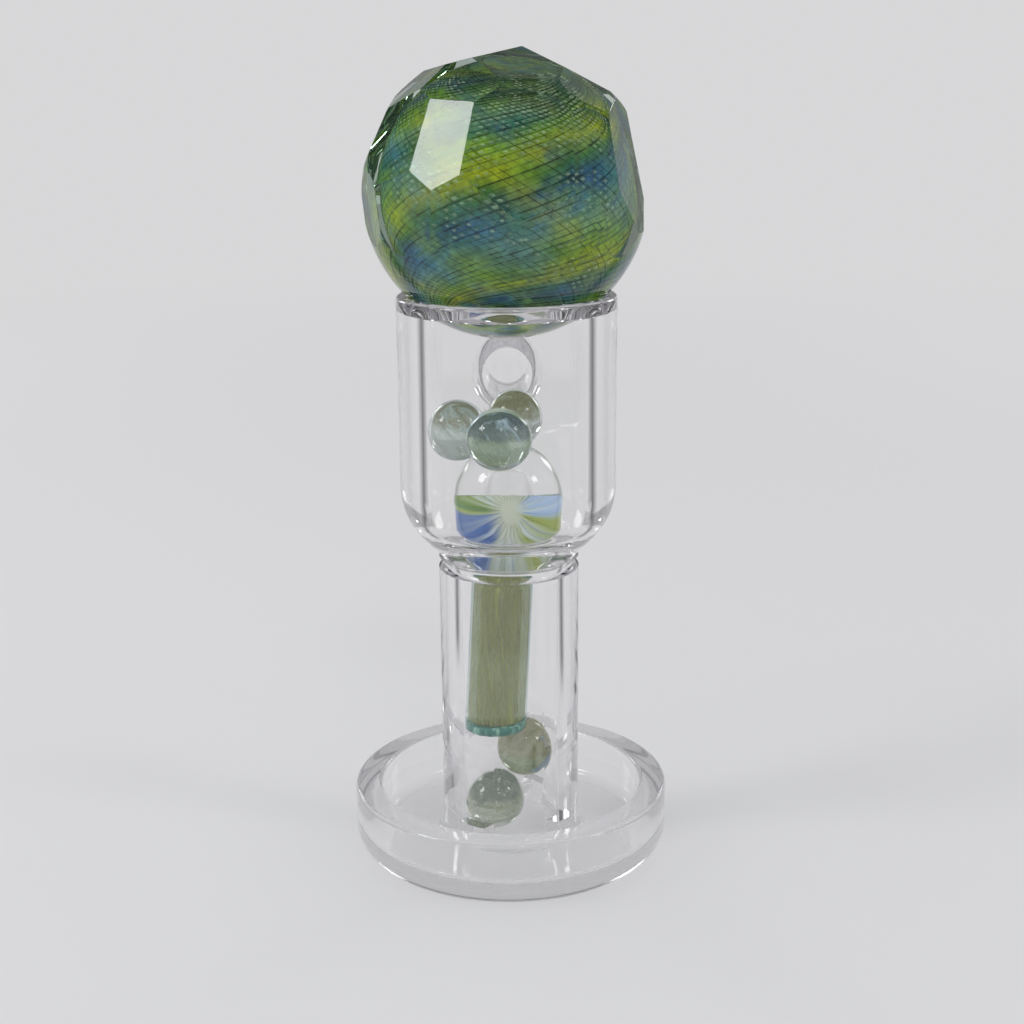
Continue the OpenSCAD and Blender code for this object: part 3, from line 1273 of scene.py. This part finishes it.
def flats_of(node: str, least: float) -> list[tuple[Vector, Vector]]:
    """Finds the flats that are cut into a round node.

    Args:
        node: The node's name.
        least: Smallest area of a flat, in square metres.

    Returns:
        A point and a normal for each flat.
    """
    mesh = bpy.data.objects[node].data
    mesh.calc_loop_triangles()
    areas: dict[tuple[float, ...], float] = {}
    points: dict[tuple[float, ...], Vector] = {}
    for triangle in mesh.loop_triangles:
        key = tuple(round(x, 3) for x in triangle.normal)
        areas[key] = areas.get(key, 0) + triangle.area
        points[key] = mesh.vertices[triangle.vertices[0]].co
    return [(points[key], Vector(key).normalized()) for key, area in areas.items() if area > least]


@dataclass
class CapMarble:
    """The large cut marble on the rim: clear casing, coloured core, net of canes and its bubbles.

    Attributes:
        body: Name of the body that carries it.
        flat_area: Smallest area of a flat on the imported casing.
        face_area: Area that parts the flats from the faces of the round ball.
        edge: Width of the dulled edges between flats.
        canes: Number of canes in each family.
        pitch: Climb of a cane, in degrees.
        tilt: Tilt of the winding axis, in degrees.
        reach: How near the poles the canes go, in degrees from the girth.
        cane_r: Radius of a cane of the middle size.
        cane_sizes: Sizes of the canes, as shares of that radius.
        falling_size: How much thinner the falling family is.
        dimple: Depth to which the poles of the core are drawn in.
        dimple_reach: Share of the core's radius over which they are.
        bubble_r: Radius of a middling bubble.
        bubble_share: Share of the meshes that hold a bubble.
        drift_size: Width of a drift of bubbles.
    """

    body: str = "cap_marble"
    flat_area: float = 2.5 * MM * MM
    face_area: float = 5 * MM * MM
    edge: float = 0.07 * MM
    canes: int = 38
    pitch: float = 26.0
    tilt: Angles = (4.0, -7.0, 150.0)
    reach: float = 68.0
    cane_r: float = 0.062 * MM
    cane_sizes: tuple[float, ...] = (0.35, 0.5, 0.7, 1.0, 1.5)
    falling_size: float = 0.45
    dimple: float = 0.5 * MM
    dimple_reach: float = 0.22
    bubble_r: float = 0.18 * MM
    bubble_share: float = 0.62
    drift_size: float = 4.5 * MM

    def __post_init__(self) -> None:
        """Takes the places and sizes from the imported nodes."""
        self.centre = centre_of("cap_marble_core")
        self.core_r = radius_of("cap_marble_core")
        self.radius = self.centre.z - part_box("cap_marble_casing")[0][2]
        self.axis = Euler([math.radians(a) for a in self.tilt]).to_matrix().inverted()

    def casing(self) -> Piece:
        """Cuts the flats into a solid glass ball and dulls the edges between them.

        Returns:
            The casing.
        """
        deselect_all()
        bpy.ops.mesh.primitive_cube_add(size=4 * self.radius, location=self.centre)
        stone = settle(start("stone"))
        for point, normal in flats_of("cap_marble_casing", self.flat_area):
            slice_off(stone, point, normal)
        obj = ball("cap_casing", self.centre, self.radius, 192)
        combine(obj, stone, Meeting.KEEP_SHARED)
        tidy_mesh(obj, 0.005 * MM)
        sides: dict[tuple[int, int], int] = {}
        for face in obj.data.polygons:
            for key in face.edge_keys:
                sides[key] = sides.get(key, 0) + (face.area > self.face_area)
        edit(obj, everything=False)
        bpy.ops.mesh.select_mode(type="EDGE")
        leave_edit()
        for line in obj.data.edges:
            line.select = sides[line.key] == 2
        bpy.ops.object.mode_set(mode="EDIT")
        bpy.ops.mesh.bevel(offset=self.edge, segments=2, clamp_overlap=False)
        leave_edit()
        shade(obj, 8)
        for face in obj.data.polygons:
            face.use_smooth = face.area < self.face_area
        return obj

    def core(self) -> Piece:
        """Turns the coloured core, drawn in a little where the canes were twisted off.

        Returns:
            The core.
        """
        profile = Profile().to(0, self.dimple - self.core_r)
        steps = 90
        for k in range(1, steps):
            turn = math.pi * k / steps - math.pi / 2
            near = max(0.0, 1 - math.cos(turn) / self.dimple_reach)
            size = self.core_r - self.dimple * near * near
            profile.to(size * math.cos(turn), size * math.sin(turn))
        profile.to(0, self.core_r - self.dimple)
        obj = profile.lathe("cap_core", steps=128)
        obj.rotation_euler = self.axis.to_euler()
        obj.location = self.centre
        return shade(settle(obj), 40)

    def on_core(self, around: float, climb: float, lift: float) -> Vector:
        """Point on the core.

        Args:
            around: Angle round the winding axis.
            climb: Climb along the canes, as an angle.
            lift: Height above the core.

        Returns:
            The point.
        """
        height = math.tanh(climb * math.tan(math.radians(self.pitch)))
        wide = math.sqrt(1 - height * height)
        unit = Vector((wide * math.cos(around), wide * math.sin(around), height))
        return self.centre + self.axis @ unit * (self.core_r + lift)

    def limit(self) -> float:
        """Climb at which the canes end, near the poles of the core."""
        height = math.sin(math.radians(self.reach))
        return math.atanh(height) / math.tan(math.radians(self.pitch))

    def net(self) -> Piece:
        """Winds both families of fine canes round the core.

        Returns:
            The net.
        """
        curve = bpy.data.curves.new("cap_canes", "CURVE")
        curve.dimensions = "3D"
        curve.bevel_depth = self.cane_r
        curve.bevel_resolution = 0
        steps = 74
        draw = random.Random(7)
        for side, family in ((1, 1.0), (-1, self.falling_size)):
            for k in range(self.canes):
                thick = draw.choice(self.cane_sizes) * family
                spline = curve.splines.new("POLY")
                spline.points.add(steps)
                for j, point in enumerate(spline.points):
                    climb = self.limit() * (2 * j / steps - 1)
                    around = math.tau * k / self.canes + side * climb
                    point.co = (*self.on_core(around, climb, 0.02 * MM), 1)
                    point.radius = thick
        return curve_to_mesh("cap_canes", curve)

    def bubbles(self) -> Piece:
        """Sets small flat bubbles into the meshes of the net, in drifts.

        Returns:
            All the bubbles, as one piece.
        """
        draw = random.Random(11)
        deselect_all()
        bpy.ops.mesh.primitive_ico_sphere_add(subdivisions=1, radius=1)
        obj = start("cap_bubbles")
        points = [vertex.co.copy() for vertex in obj.data.vertices]
        corners = [tuple(face.vertices) for face in obj.data.polygons]
        spots: list[Vector] = []
        rows = int(self.limit() * self.canes / math.pi)
        for row in range(-rows, rows + 1):
            climb = math.pi * row / self.canes
            for k in range(self.canes):
                around = math.tau * k / self.canes + math.pi * (row % 2 + 1) / self.canes
                spot = self.on_core(around, climb, 0.03 * MM)
                drift = noise.noise((spot - self.centre) / self.drift_size + Vector((3, 1, 7)))
                height = (spot.z - self.centre.z) / self.core_r
                fewer_below = min(0.0, 2.2 * height + 0.35)
                if draw.random() > self.bubble_share + 2.2 * drift + fewer_below:
                    continue
                away = (spot - self.centre).normalized()
                turned = away.to_track_quat("Z", "Y").to_matrix().to_4x4()
                size = self.bubble_r * draw.uniform(0.7, 1.25)
                flat = Matrix.Diagonal((size * 1.9, size, size * 0.5, 1))
                spots += [Matrix.Translation(spot) @ turned @ flat @ point for point in points]
        count = len(points)
        faces = [[k * count + i for i in face] for k in range(len(spots) // count) for face in corners]
        obj.data.clear_geometry()
        obj.data.from_pydata(spots, [], faces)
        pick(obj)
        bpy.ops.object.shade_smooth()
        return obj

    def banded(self, name: str, gain: float = 1.0, pale: float = 0.0, cover: float = 1.0) -> Material:
        """Banded glass for the core, its canes or its bubbles, as NetCore's fields say."""
        return NetCore(name, self.centre, self.core_r, self.pitch, self.tilt, gain, pale, cover).material()

    def build(self) -> None:
        """Builds, dresses and places the whole marble."""
        casing = self.casing()
        clear = ClearGlass("cap_clear", ripple=0.02, absorb=(0.70, 0.80, 0.72), density=60)
        place(casing, clear.material(), self.body, "cap_glass", "cap_marble_casing")
        place(self.core(), self.banded("cap_bands"), self.body, "cap_net", "cap_marble_core")
        place(self.net(), self.banded("cap_cane_glass", 0.42, 0.0, 0.6), self.body, "cap_net")
        # painted reflection: the bubbles get the bands made lighter and paler, for the shine of their air
        place(self.bubbles(), self.banded("cap_bubble_shine", 1.3, 0.45, 0.55), self.body, "cap_net")


@dataclass
class ValveMarble:
    """The marble that sits on the throat: clear ball with a blossom in its lower half.

    Attributes:
        body: Name of the body that carries it.
        tip: How far the blossom's cut face tips to the front, in degrees.
        heart: How far the blossom's heart is turned from the top, in degrees.
        heart_side: How far it is turned sideways, in degrees.
        ribs: Number of ribs that are pressed into the blossom.
        rib_depth: Their depth, as a share of the radius.
    """

    body: str = "valve_marble"
    tip: float = 15.0
    heart: float = 92.0
    heart_side: float = 4.0
    ribs: int = 30
    rib_depth: float = 0.02

    def __post_init__(self) -> None:
        """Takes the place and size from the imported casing."""
        self.centre = centre_of("valve_marble_casing")
        self.radius = radius_of("valve_marble_casing")

    def blossom(self) -> Piece:
        """Presses ribs into a ball, round the blossom's heart, and cuts it across.

        Returns:
            The blossom.
        """
        radius = radius_of("valve_marble_blossom")
        obj = ball("valve_blossom", Vector((0, 0, 0)), radius, self.ribs * 4)

        def in_rib(spot: Vector) -> bool:
            """Tells whether a point of the ball is in a rib and off the heart."""
            angle = math.atan2(spot.y, spot.x) * self.ribs / math.tau
            return abs(angle - round(angle)) < 0.1 and abs(spot.z) < radius * 0.97

        edit_where(obj, in_rib)
        bpy.ops.transform.resize(value=(1 - self.rib_depth,) * 3, center_override=(0, 0, 0))
        leave_edit()
        obj.rotation_euler = (math.radians(self.heart), 0, math.radians(self.heart_side))
        obj.location = self.centre
        settle(obj)
        tip = math.radians(self.tip)
        slice_off(obj, self.centre, Vector((0, math.sin(tip), math.cos(tip))))
        return shade(tidy_mesh(obj), 40)

    def seed(self) -> Piece:
        """Makes one small air bubble above the blossom.

        Returns:
            The bubble.
        """
        centre = self.centre + Vector((1.5, -3.6, 0.35)) * MM
        obj = ball("valve_seed", centre, 0.16 * MM, 24)
        edit(obj)
        bpy.ops.transform.resize(value=(1.3, 1, 0.9), center_override=tuple(centre))
        leave_edit()
        return obj

    def build(self) -> None:
        """Builds, dresses and places the marble."""
        casing = ball("valve_casing", self.centre, self.radius, 128)
        rod_mark(casing, self.centre, self.radius, (0.35, 0.8, -0.35), 0.995)
        clear = ClearGlass("valve_clear", ripple=0.03)
        place(casing, clear.material(), self.body, "valve_glass", "valve_marble_casing")
        blossom = self.blossom()
        turn = (-self.heart, 0.0, -self.heart_side)
        petals = Petals("valve_petals", self.centre, self.radius, turn)
        place(blossom, petals.material(), self.body, "valve_blossom", "valve_marble_blossom")
        # painted reflection: the bubble's shine is given as a pale colour
        shine = Bubble("valve_seed_shine", (0.75, 0.78, 0.76))
        place(self.seed(), shine.material(), self.body, "valve_glass")


@dataclass
class Pearl:
    """A small tinted pearl with a veil of coloured glass in it.

    Attributes:
        node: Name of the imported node.
        body: Name of the body that carries it.
        slot: Name of its slot.
        tint: Colour of its clear glass.
        threads: How the veil's glass was laid.
        dent: Direction of the dent in the veil.
        squeeze: How the veil is squeezed along the three axes.
        inner: Radius of the veil, as a share of the pearl's.
        dent_spread: How near the dent's direction a point has to be, as a cosine.
        dent_depth: Depth of the dent, as a share of the radius.
    """

    node: str
    body: str
    slot: str
    tint: Colour
    threads: Threads
    dent: Triple
    squeeze: Triple
    inner: float = 0.64
    dent_spread: float = 0.82
    dent_depth: float = 0.16

    def build(self) -> None:
        """Builds, dresses and places the pearl."""
        centre = centre_of(self.node)
        radius = radius_of(self.node)
        shell = ball(self.node + "_glass", centre, radius, 96)
        rod_mark(shell, centre, radius, (0.3, 0.75, -0.6), 0.992)
        clear = ClearGlass(self.node + "_clear", tint=self.tint, ripple=0.05, wave=2.5 * MM)
        place(shell, clear.material(), self.body, self.slot, self.node)
        veil = ball(self.node + "_veil", centre, radius * self.inner, 64)
        aim = Vector(self.dent).normalized()
        edit_where(veil, lambda spot: (spot - centre).normalized().dot(aim) > self.dent_spread)
        bpy.ops.transform.translate(value=tuple(aim * radius * -self.dent_depth))
        bpy.ops.mesh.select_all(action="SELECT")
        bpy.ops.transform.resize(value=self.squeeze, center_override=tuple(centre))
        bpy.ops.mesh.vertices_smooth(factor=0.5, repeat=6)
        leave_edit()
        glass = Veil(self.node + "_veil_glass", centre, radius * self.inner, self.threads)
        place(veil, glass.material(), self.body, self.slot)


@dataclass
class Pillar:
    """The loose pillar in the tube: clear casing round a streaked core, with a ring at its foot.

    Attributes:
        body: Name of the body that carries it.
        diameter: Outer diameter.
        core_d: Diameter of the streaked core.
        edge_r: Radius of the casing's rounded edges.
        soft_r: Radius of the core's rounded edges.
        end: Clear glass beyond each end of the core.
    """

    body: str = "pillar"
    diameter: float = 7.2 * MM
    core_d: float = 4.4 * MM
    edge_r: float = 0.8 * MM
    soft_r: float = 0.4 * MM
    end: float = 1.1 * MM

    def __post_init__(self) -> None:
        """Finds the pillar's axis from the faces of its core."""
        mesh = bpy.data.objects["pillar_core"].data
        heights = sorted(mesh.vertices, key=lambda point: point.co.z)
        count = len(heights) // 2
        low = sum((point.co for point in heights[:count]), Vector()) / count
        high = sum((point.co for point in heights[-count:]), Vector()) / count
        self.up = (high - low).normalized()
        self.lean = self.up.to_track_quat("Z", "Y").to_euler()
        self.foot = low - self.up * self.end
        self.length = (high - low).length + 2 * self.end
        self.middle = (low + high) / 2

    def turned(self, name: str, radius: float, low: float, high: float, edge: float) -> Piece:
        """Turns a round bar with rounded ends.

        Args:
            name: The piece's name.
            radius: The bar's radius.
            low: Height of its lower end.
            high: Height of its upper end.
            edge: Radius of its rounded edges.

        Returns:
            The bar, leaned and set on the pillar's foot.
        """
        profile = Profile().to(0, low)
        profile.arc((radius - edge, low + edge), edge, -90, 0, 8)
        steps = 12
        for k in range(1, steps):
            profile.to(radius, low + edge + (high - low - 2 * edge) * k / steps)
        profile.arc((radius - edge, high - edge), edge, 0, 90, 8)
        profile.to(0, high)
        obj = profile.lathe(name, steps=96)
        obj.rotation_euler = self.lean
        obj.location = self.foot
        return shade(settle(obj), 40)

    def veiled(self, name: str, centre: Vector, threads: Threads) -> Material:
        """Streaked glass about a point of the pillar's axis."""
        return Veil(name, centre, self.diameter / 2, threads).material()

    def build(self) -> None:
        """Builds, dresses and places the pillar."""
        casing = self.turned("pillar_glass", self.diameter / 2, 0, self.length, self.edge_r)
        teal = ClearGlass(
            "pillar_clear",
            tint=(0.93, 0.97, 0.96),
            ripple=0.06,
            wave=3 * MM,
            absorb=(0.45, 0.72, 0.70),
            density=75,
        )
        place(casing, teal.material(), self.body, "pillar_glass", "pillar_casing")
        turn = tuple(-math.degrees(angle) for angle in self.lean)
        olive = Threads(
            high=(0.30, 0.31, 0.10),
            low=(0.34, 0.35, 0.13),
            streak=(0.52, 0.52, 0.13),
            turn=turn,
            density=3.0,
            stretch=0.015,
            cover=(0.60, 0.54),
            amount=0.60,
        )
        core = self.turned("pillar_streaks", self.core_d / 2, self.end, self.length - self.end, self.soft_r)
        drawn = self.veiled("pillar_drawn", self.middle, olive)
        place(core, drawn, self.body, "pillar_streaks", "pillar_core")
        amber = Threads(
            high=(0.27, 0.21, 0.06),
            low=(0.34, 0.30, 0.09),
            streak=(0.46, 0.41, 0.10),
            turn=turn,
            density=5.0,
            stretch=0.02,
            cover=(0.45, 0.34),
            amount=0.58,
        )
        inset = self.end * 1.3
        heart = self.turned("pillar_heart", self.core_d * 0.36, inset, self.length - inset, self.soft_r)
        place(heart, self.veiled("pillar_amber", self.middle, amber), self.body, "pillar_streaks")
        skin = Threads(
            high=(0.06, 0.26, 0.20), low=(0.05, 0.22, 0.19), streak=(0.30, 0.55, 0.45), cover=(0.8, 0.8)
        )
        ring_r = self.core_d / 2 + 0.5 * MM
        ring = self.turned("pillar_foot_ring", ring_r, 0.3 * MM, 1.0 * MM, 0.3 * MM)
        place(ring, self.veiled("pillar_ring_glass", self.foot, skin), self.body, "pillar_glass")


# ---------------------------------------------------------------- the studio


@dataclass
class Studio:
    """Floor, world, lamps and camera.

    Attributes:
        focal: Focal length, in pixels of the frame.
        frame: Width of the frame, in pixels.
        eye: Where the camera stands.
        pitch: How far it looks down, in degrees.
        yaw: How far it is turned to the right.
        roll: How far it is rolled.
        backdrop: Colour of the room, and of the floor far away.
        screen: Colour of the two dark screens.
        screen_span: Where a screen starts, is darkest and ends, in degrees from straight behind.
        screen_cover: How much of the room a screen hides where it is darkest.
        ceiling: Colour of the dark ceiling.
        ceiling_span: Heights, as a share of a direction, between which the ceiling comes in.
        sheen: Share of the room that polished surfaces reflect.
        light: Colour of the soft light from all round.
        paper: Colour of the floor near by.
        ink: Colour of the screens on it.
        far: Distances between which the floor goes over into the room.
        clear_of: Distances between which the screens come in on the floor.
        bounces: How often light may pass through glass.
    """

    focal: float = 1590.0
    frame: float = 1024.0
    eye: Triple = (0.0, -179.19 * MM, 90.31 * MM)
    pitch: float = 15.228
    yaw: float = 0.134
    roll: float = -0.463
    backdrop: Colour = (0.68, 0.68, 0.69)
    screen: Colour = (0.06, 0.06, 0.07)
    screen_span: Angles = (47.0, 57.5, 68.0)
    screen_cover: float = 0.85
    ceiling: Colour = (0.18, 0.18, 0.19)
    ceiling_span: tuple[float, float] = (0.45, 0.80)
    sheen: float = 0.55
    light: Colour = (0.62, 0.62, 0.63)
    paper: Colour = (0.78, 0.78, 0.79)
    ink: Colour = (0.05, 0.05, 0.06)
    far: tuple[float, float] = (80 * MM, 600 * MM)
    clear_of: tuple[float, float] = (45 * MM, 70 * MM)
    bounces: int = 32

    def camera(self) -> None:
        """Sets the camera up."""
        data = bpy.data.cameras.new("camera")
        data.sensor_width = 36
        data.lens = self.focal / self.frame * data.sensor_width
        data.clip_start = 5 * MM
        obj = bpy.data.objects.new("camera", data)
        bpy.context.collection.objects.link(obj)
        turn = Matrix.Rotation(-math.radians(self.yaw), 4, "Z")
        turn = turn @ Matrix.Rotation(math.radians(90 - self.pitch), 4, "X")
        turn = turn @ Matrix.Rotation(math.radians(self.roll), 4, "Z")
        obj.matrix_world = Matrix.Translation(self.eye) @ turn
        bpy.context.scene.camera = obj

    def surroundings(self, bench: Bench, towards: Socket) -> Socket:
        """Colour of the room in a direction: pale, with two dark screens and a dark ceiling.

        Args:
            bench: The node tree that gets the colour.
            towards: The direction, of any length.

        Returns:
            The colour.
        """
        height = bench.split(bench.unit(towards))[2]
        wall = bench.mix(self.screens(bench, towards), self.backdrop, self.screen)
        return bench.mix(bench.ease(height, *self.ceiling_span), wall, self.ceiling)

    def screens(self, bench: Bench, towards: Socket) -> Socket:
        """Mask of two soft dark screens, which draw lines along the edges of clear glass.

        Args:
            bench: The node tree that gets the mask.
            towards: The direction, of any length.

        Returns:
            The mask.
        """
        level = bench.add("VectorMath", {"operation": "MULTIPLY"}, in0=towards, in1=(1, 1, 0)).outputs[0]
        ahead = bench.split(bench.unit(level))[1]
        near, middle, far = (math.cos(math.radians(angle)) for angle in self.screen_span)
        rise = bench.span(ahead, near, middle)
        fall = bench.span(ahead, far, middle)
        return bench.times(bench.math("MINIMUM", rise, fall), self.screen_cover)

    def floor(self) -> None:
        """Lays the pale floor, which fades into the room's colour far away."""
        deselect_all()
        bpy.ops.mesh.primitive_circle_add(vertices=128, radius=6, fill_type="NGON")
        floor = start("floor")
        material, bench = new_material("pale_floor")
        coords = bench.coords()
        away = bench.length(coords)
        path = bench.add("LightPath")
        through = bench.math("MAXIMUM", path.outputs["Is Glossy Ray"], path.outputs["Is Transmission Ray"])
        seen = bench.times(through, bench.ease(away, *self.clear_of))
        lines = bench.times(self.screens(bench, coords), seen)
        paper = bench.add("BsdfDiffuse", Color=bench.mix(lines, self.paper, self.ink))
        room = bench.mix(lines, self.backdrop, self.screen)
        glow = bench.add("Emission", Color=room, Strength=1.0)
        fade = bench.ease(away, *self.far)
        mixed = bench.add("MixShader", Fac=fade, in1=paper.outputs[0], in2=glow.outputs[0])
        bench.add("OutputMaterial", Surface=mixed.outputs[0])
        dress(floor, material)

    def world(self) -> None:
        """Sets the soft light from all round, and what the camera and the glass see of the room."""
        world = bpy.data.worlds.new("soft_room")
        world.use_nodes = True
        world.node_tree.nodes.clear()
        bench = Bench(world.node_tree)
        path = bench.add("LightPath")
        straight, glossy = path.outputs["Is Camera Ray"], path.outputs["Is Glossy Ray"]
        seen = bench.math("MAXIMUM", straight, glossy)
        seen = bench.math("MAXIMUM", seen, path.outputs["Is Transmission Ray"])
        room = self.surroundings(bench, bench.add("TexCoord").outputs["Generated"])
        room = bench.mix(straight, room, self.backdrop)
        room = bench.mix(bench.times(glossy, 1 - self.sheen), room, (0.02, 0.02, 0.02))
        light = bench.add("Background", Color=bench.mix(seen, self.light, room), Strength=1.0)
        bench.add("OutputWorld", Surface=light.outputs[0])
        bpy.context.scene.world = world

    def lamp(self, name: str, towards: Triple, distance: float, size: float, radiance: float) -> None:
        """Hangs a square softbox that faces the cup.

        Args:
            name: The lamp's name.
            towards: Direction from the cup to the lamp.
            distance: How far away it is.
            size: Side of the square.
            radiance: How bright its face is, where white is 1.
        """
        aim = Vector((0, 0, 60 * MM))
        direction = Vector(towards).normalized()
        data = bpy.data.lights.new(name, "AREA")
        data.shape = "SQUARE"
        data.size = size
        data.energy = radiance * math.pi * size * size
        obj = bpy.data.objects.new(name, data)
        obj.location = aim + direction * distance
        obj.rotation_euler = direction.to_track_quat("Z", "Y").to_euler()
        obj.visible_camera = False
        bpy.context.collection.objects.link(obj)

    def build(self) -> None:
        """Sets up the whole studio."""
        scene = bpy.context.scene
        scene.view_settings.view_transform = "Standard"
        scene.cycles.max_bounces = self.bounces
        scene.cycles.transmission_bounces = self.bounces
        scene.cycles.transparent_max_bounces = self.bounces
        scene.cycles.glossy_bounces = self.bounces // 2
        self.camera()
        self.floor()
        self.world()
        self.lamp("key", (-0.76, -0.25, 0.60), 0.55, 0.14, 11)
        self.lamp("side", (0.80, -0.30, 0.58), 0.55, 0.10, 10)
        self.lamp("front", (0.13, -0.66, 0.74), 0.60, 0.08, 9)
        self.lamp("back_left", (-0.62, 0.74, 0.26), 0.60, 0.14, 4)
        self.lamp("back_right", (0.62, 0.74, 0.26), 0.60, 0.14, 4)


# ---------------------------------------------------------------- assembly


def pearls() -> list[Pearl]:
    """Lists the five loose pearls with their colours.

    Returns:
        The three upper pearls, then the two lower ones.
    """
    return [
        Pearl(
            "upper_pearl_front",
            "pearl_front",
            "front_pearl",
            tint=(0.80, 0.90, 0.87),
            threads=Threads(
                high=(0.07, 0.125, 0.12),
                low=(0.36, 0.48, 0.29),
                streak=(0.45, 0.58, 0.66),
                turn=(0.0, 35.0, 20.0),
                density=2.2,
                cover=(0.72, 0.40),
                amount=0.60,
            ),
            dent=(0.5, -0.5, 0.3),
            squeeze=(1.05, 1.0, 0.9),
        ),
        Pearl(
            "upper_pearl_left",
            "pearl_left",
            "left_pearl",
            tint=(0.84, 0.91, 0.88),
            threads=Threads(
                high=(0.19, 0.20, 0.09),
                low=(0.50, 0.60, 0.55),
                streak=(0.36, 0.44, 0.40),
                turn=(0.0, 45.0, 0.0),
                density=3.0,
                cover=(0.68, 0.30),
                amount=0.50,
                split=0.2,
            ),
            dent=(-0.3, -0.7, 0.5),
            squeeze=(0.95, 1.0, 1.05),
        ),
        Pearl(
            "upper_pearl_rear",
            "pearl_rear",
            "rear_pearl",
            tint=(0.84, 0.90, 0.86),
            threads=Threads(
                high=(0.20, 0.20, 0.07),
                low=(0.42, 0.50, 0.48),
                streak=(0.34, 0.38, 0.30),
                turn=(0.0, -40.0, 0.0),
                density=2.6,
                cover=(0.75, 0.30),
                amount=0.55,
            ),
            dent=(0.6, -0.2, -0.6),
            squeeze=(1.0, 0.9, 1.05),
        ),
        Pearl(
            "lower_pearl_high",
            "pearl_high",
            "high_pearl",
            tint=(0.90, 0.94, 0.86),
            threads=Threads(
                high=(0.27, 0.26, 0.11),
                low=(0.27, 0.34, 0.17),
                streak=(0.10, 0.22, 0.46),
                turn=(0.0, -50.0, 10.0),
                density=1.5,
                cover=(0.55, 0.50),
                amount=0.60,
                split=-0.2,
            ),
            dent=(-0.4, -0.6, -0.2),
            squeeze=(1.08, 1.0, 0.95),
            inner=0.70,
        ),
        Pearl(
            "lower_pearl_low",
            "pearl_low",
            "low_pearl",
            tint=(0.88, 0.93, 0.87),
            threads=Threads(
                high=(0.13, 0.17, 0.14),
                low=(0.42, 0.46, 0.32),
                streak=(0.66, 0.74, 0.68),
                turn=(0.0, 8.0, 0.0),
                density=5.0,
                stretch=0.04,
                cover=(0.70, 0.40),
                amount=0.62,
                split=0.15,
            ),
            dent=(0.2, -0.8, 0.5),
            squeeze=(1.0, 1.05, 0.92),
        ),
    ]


def main() -> None:
    """Builds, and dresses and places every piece."""
    logging.basicConfig(level=logging.INFO, format="%(message)s")
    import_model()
    Studio().build()
    QuartzNail().build()
    CapMarble().build()
    ValveMarble().build()
    Pillar().build()
    for pearl in pearls():
        pearl.build()
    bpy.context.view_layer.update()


if __name__ == "__main__":
    main()
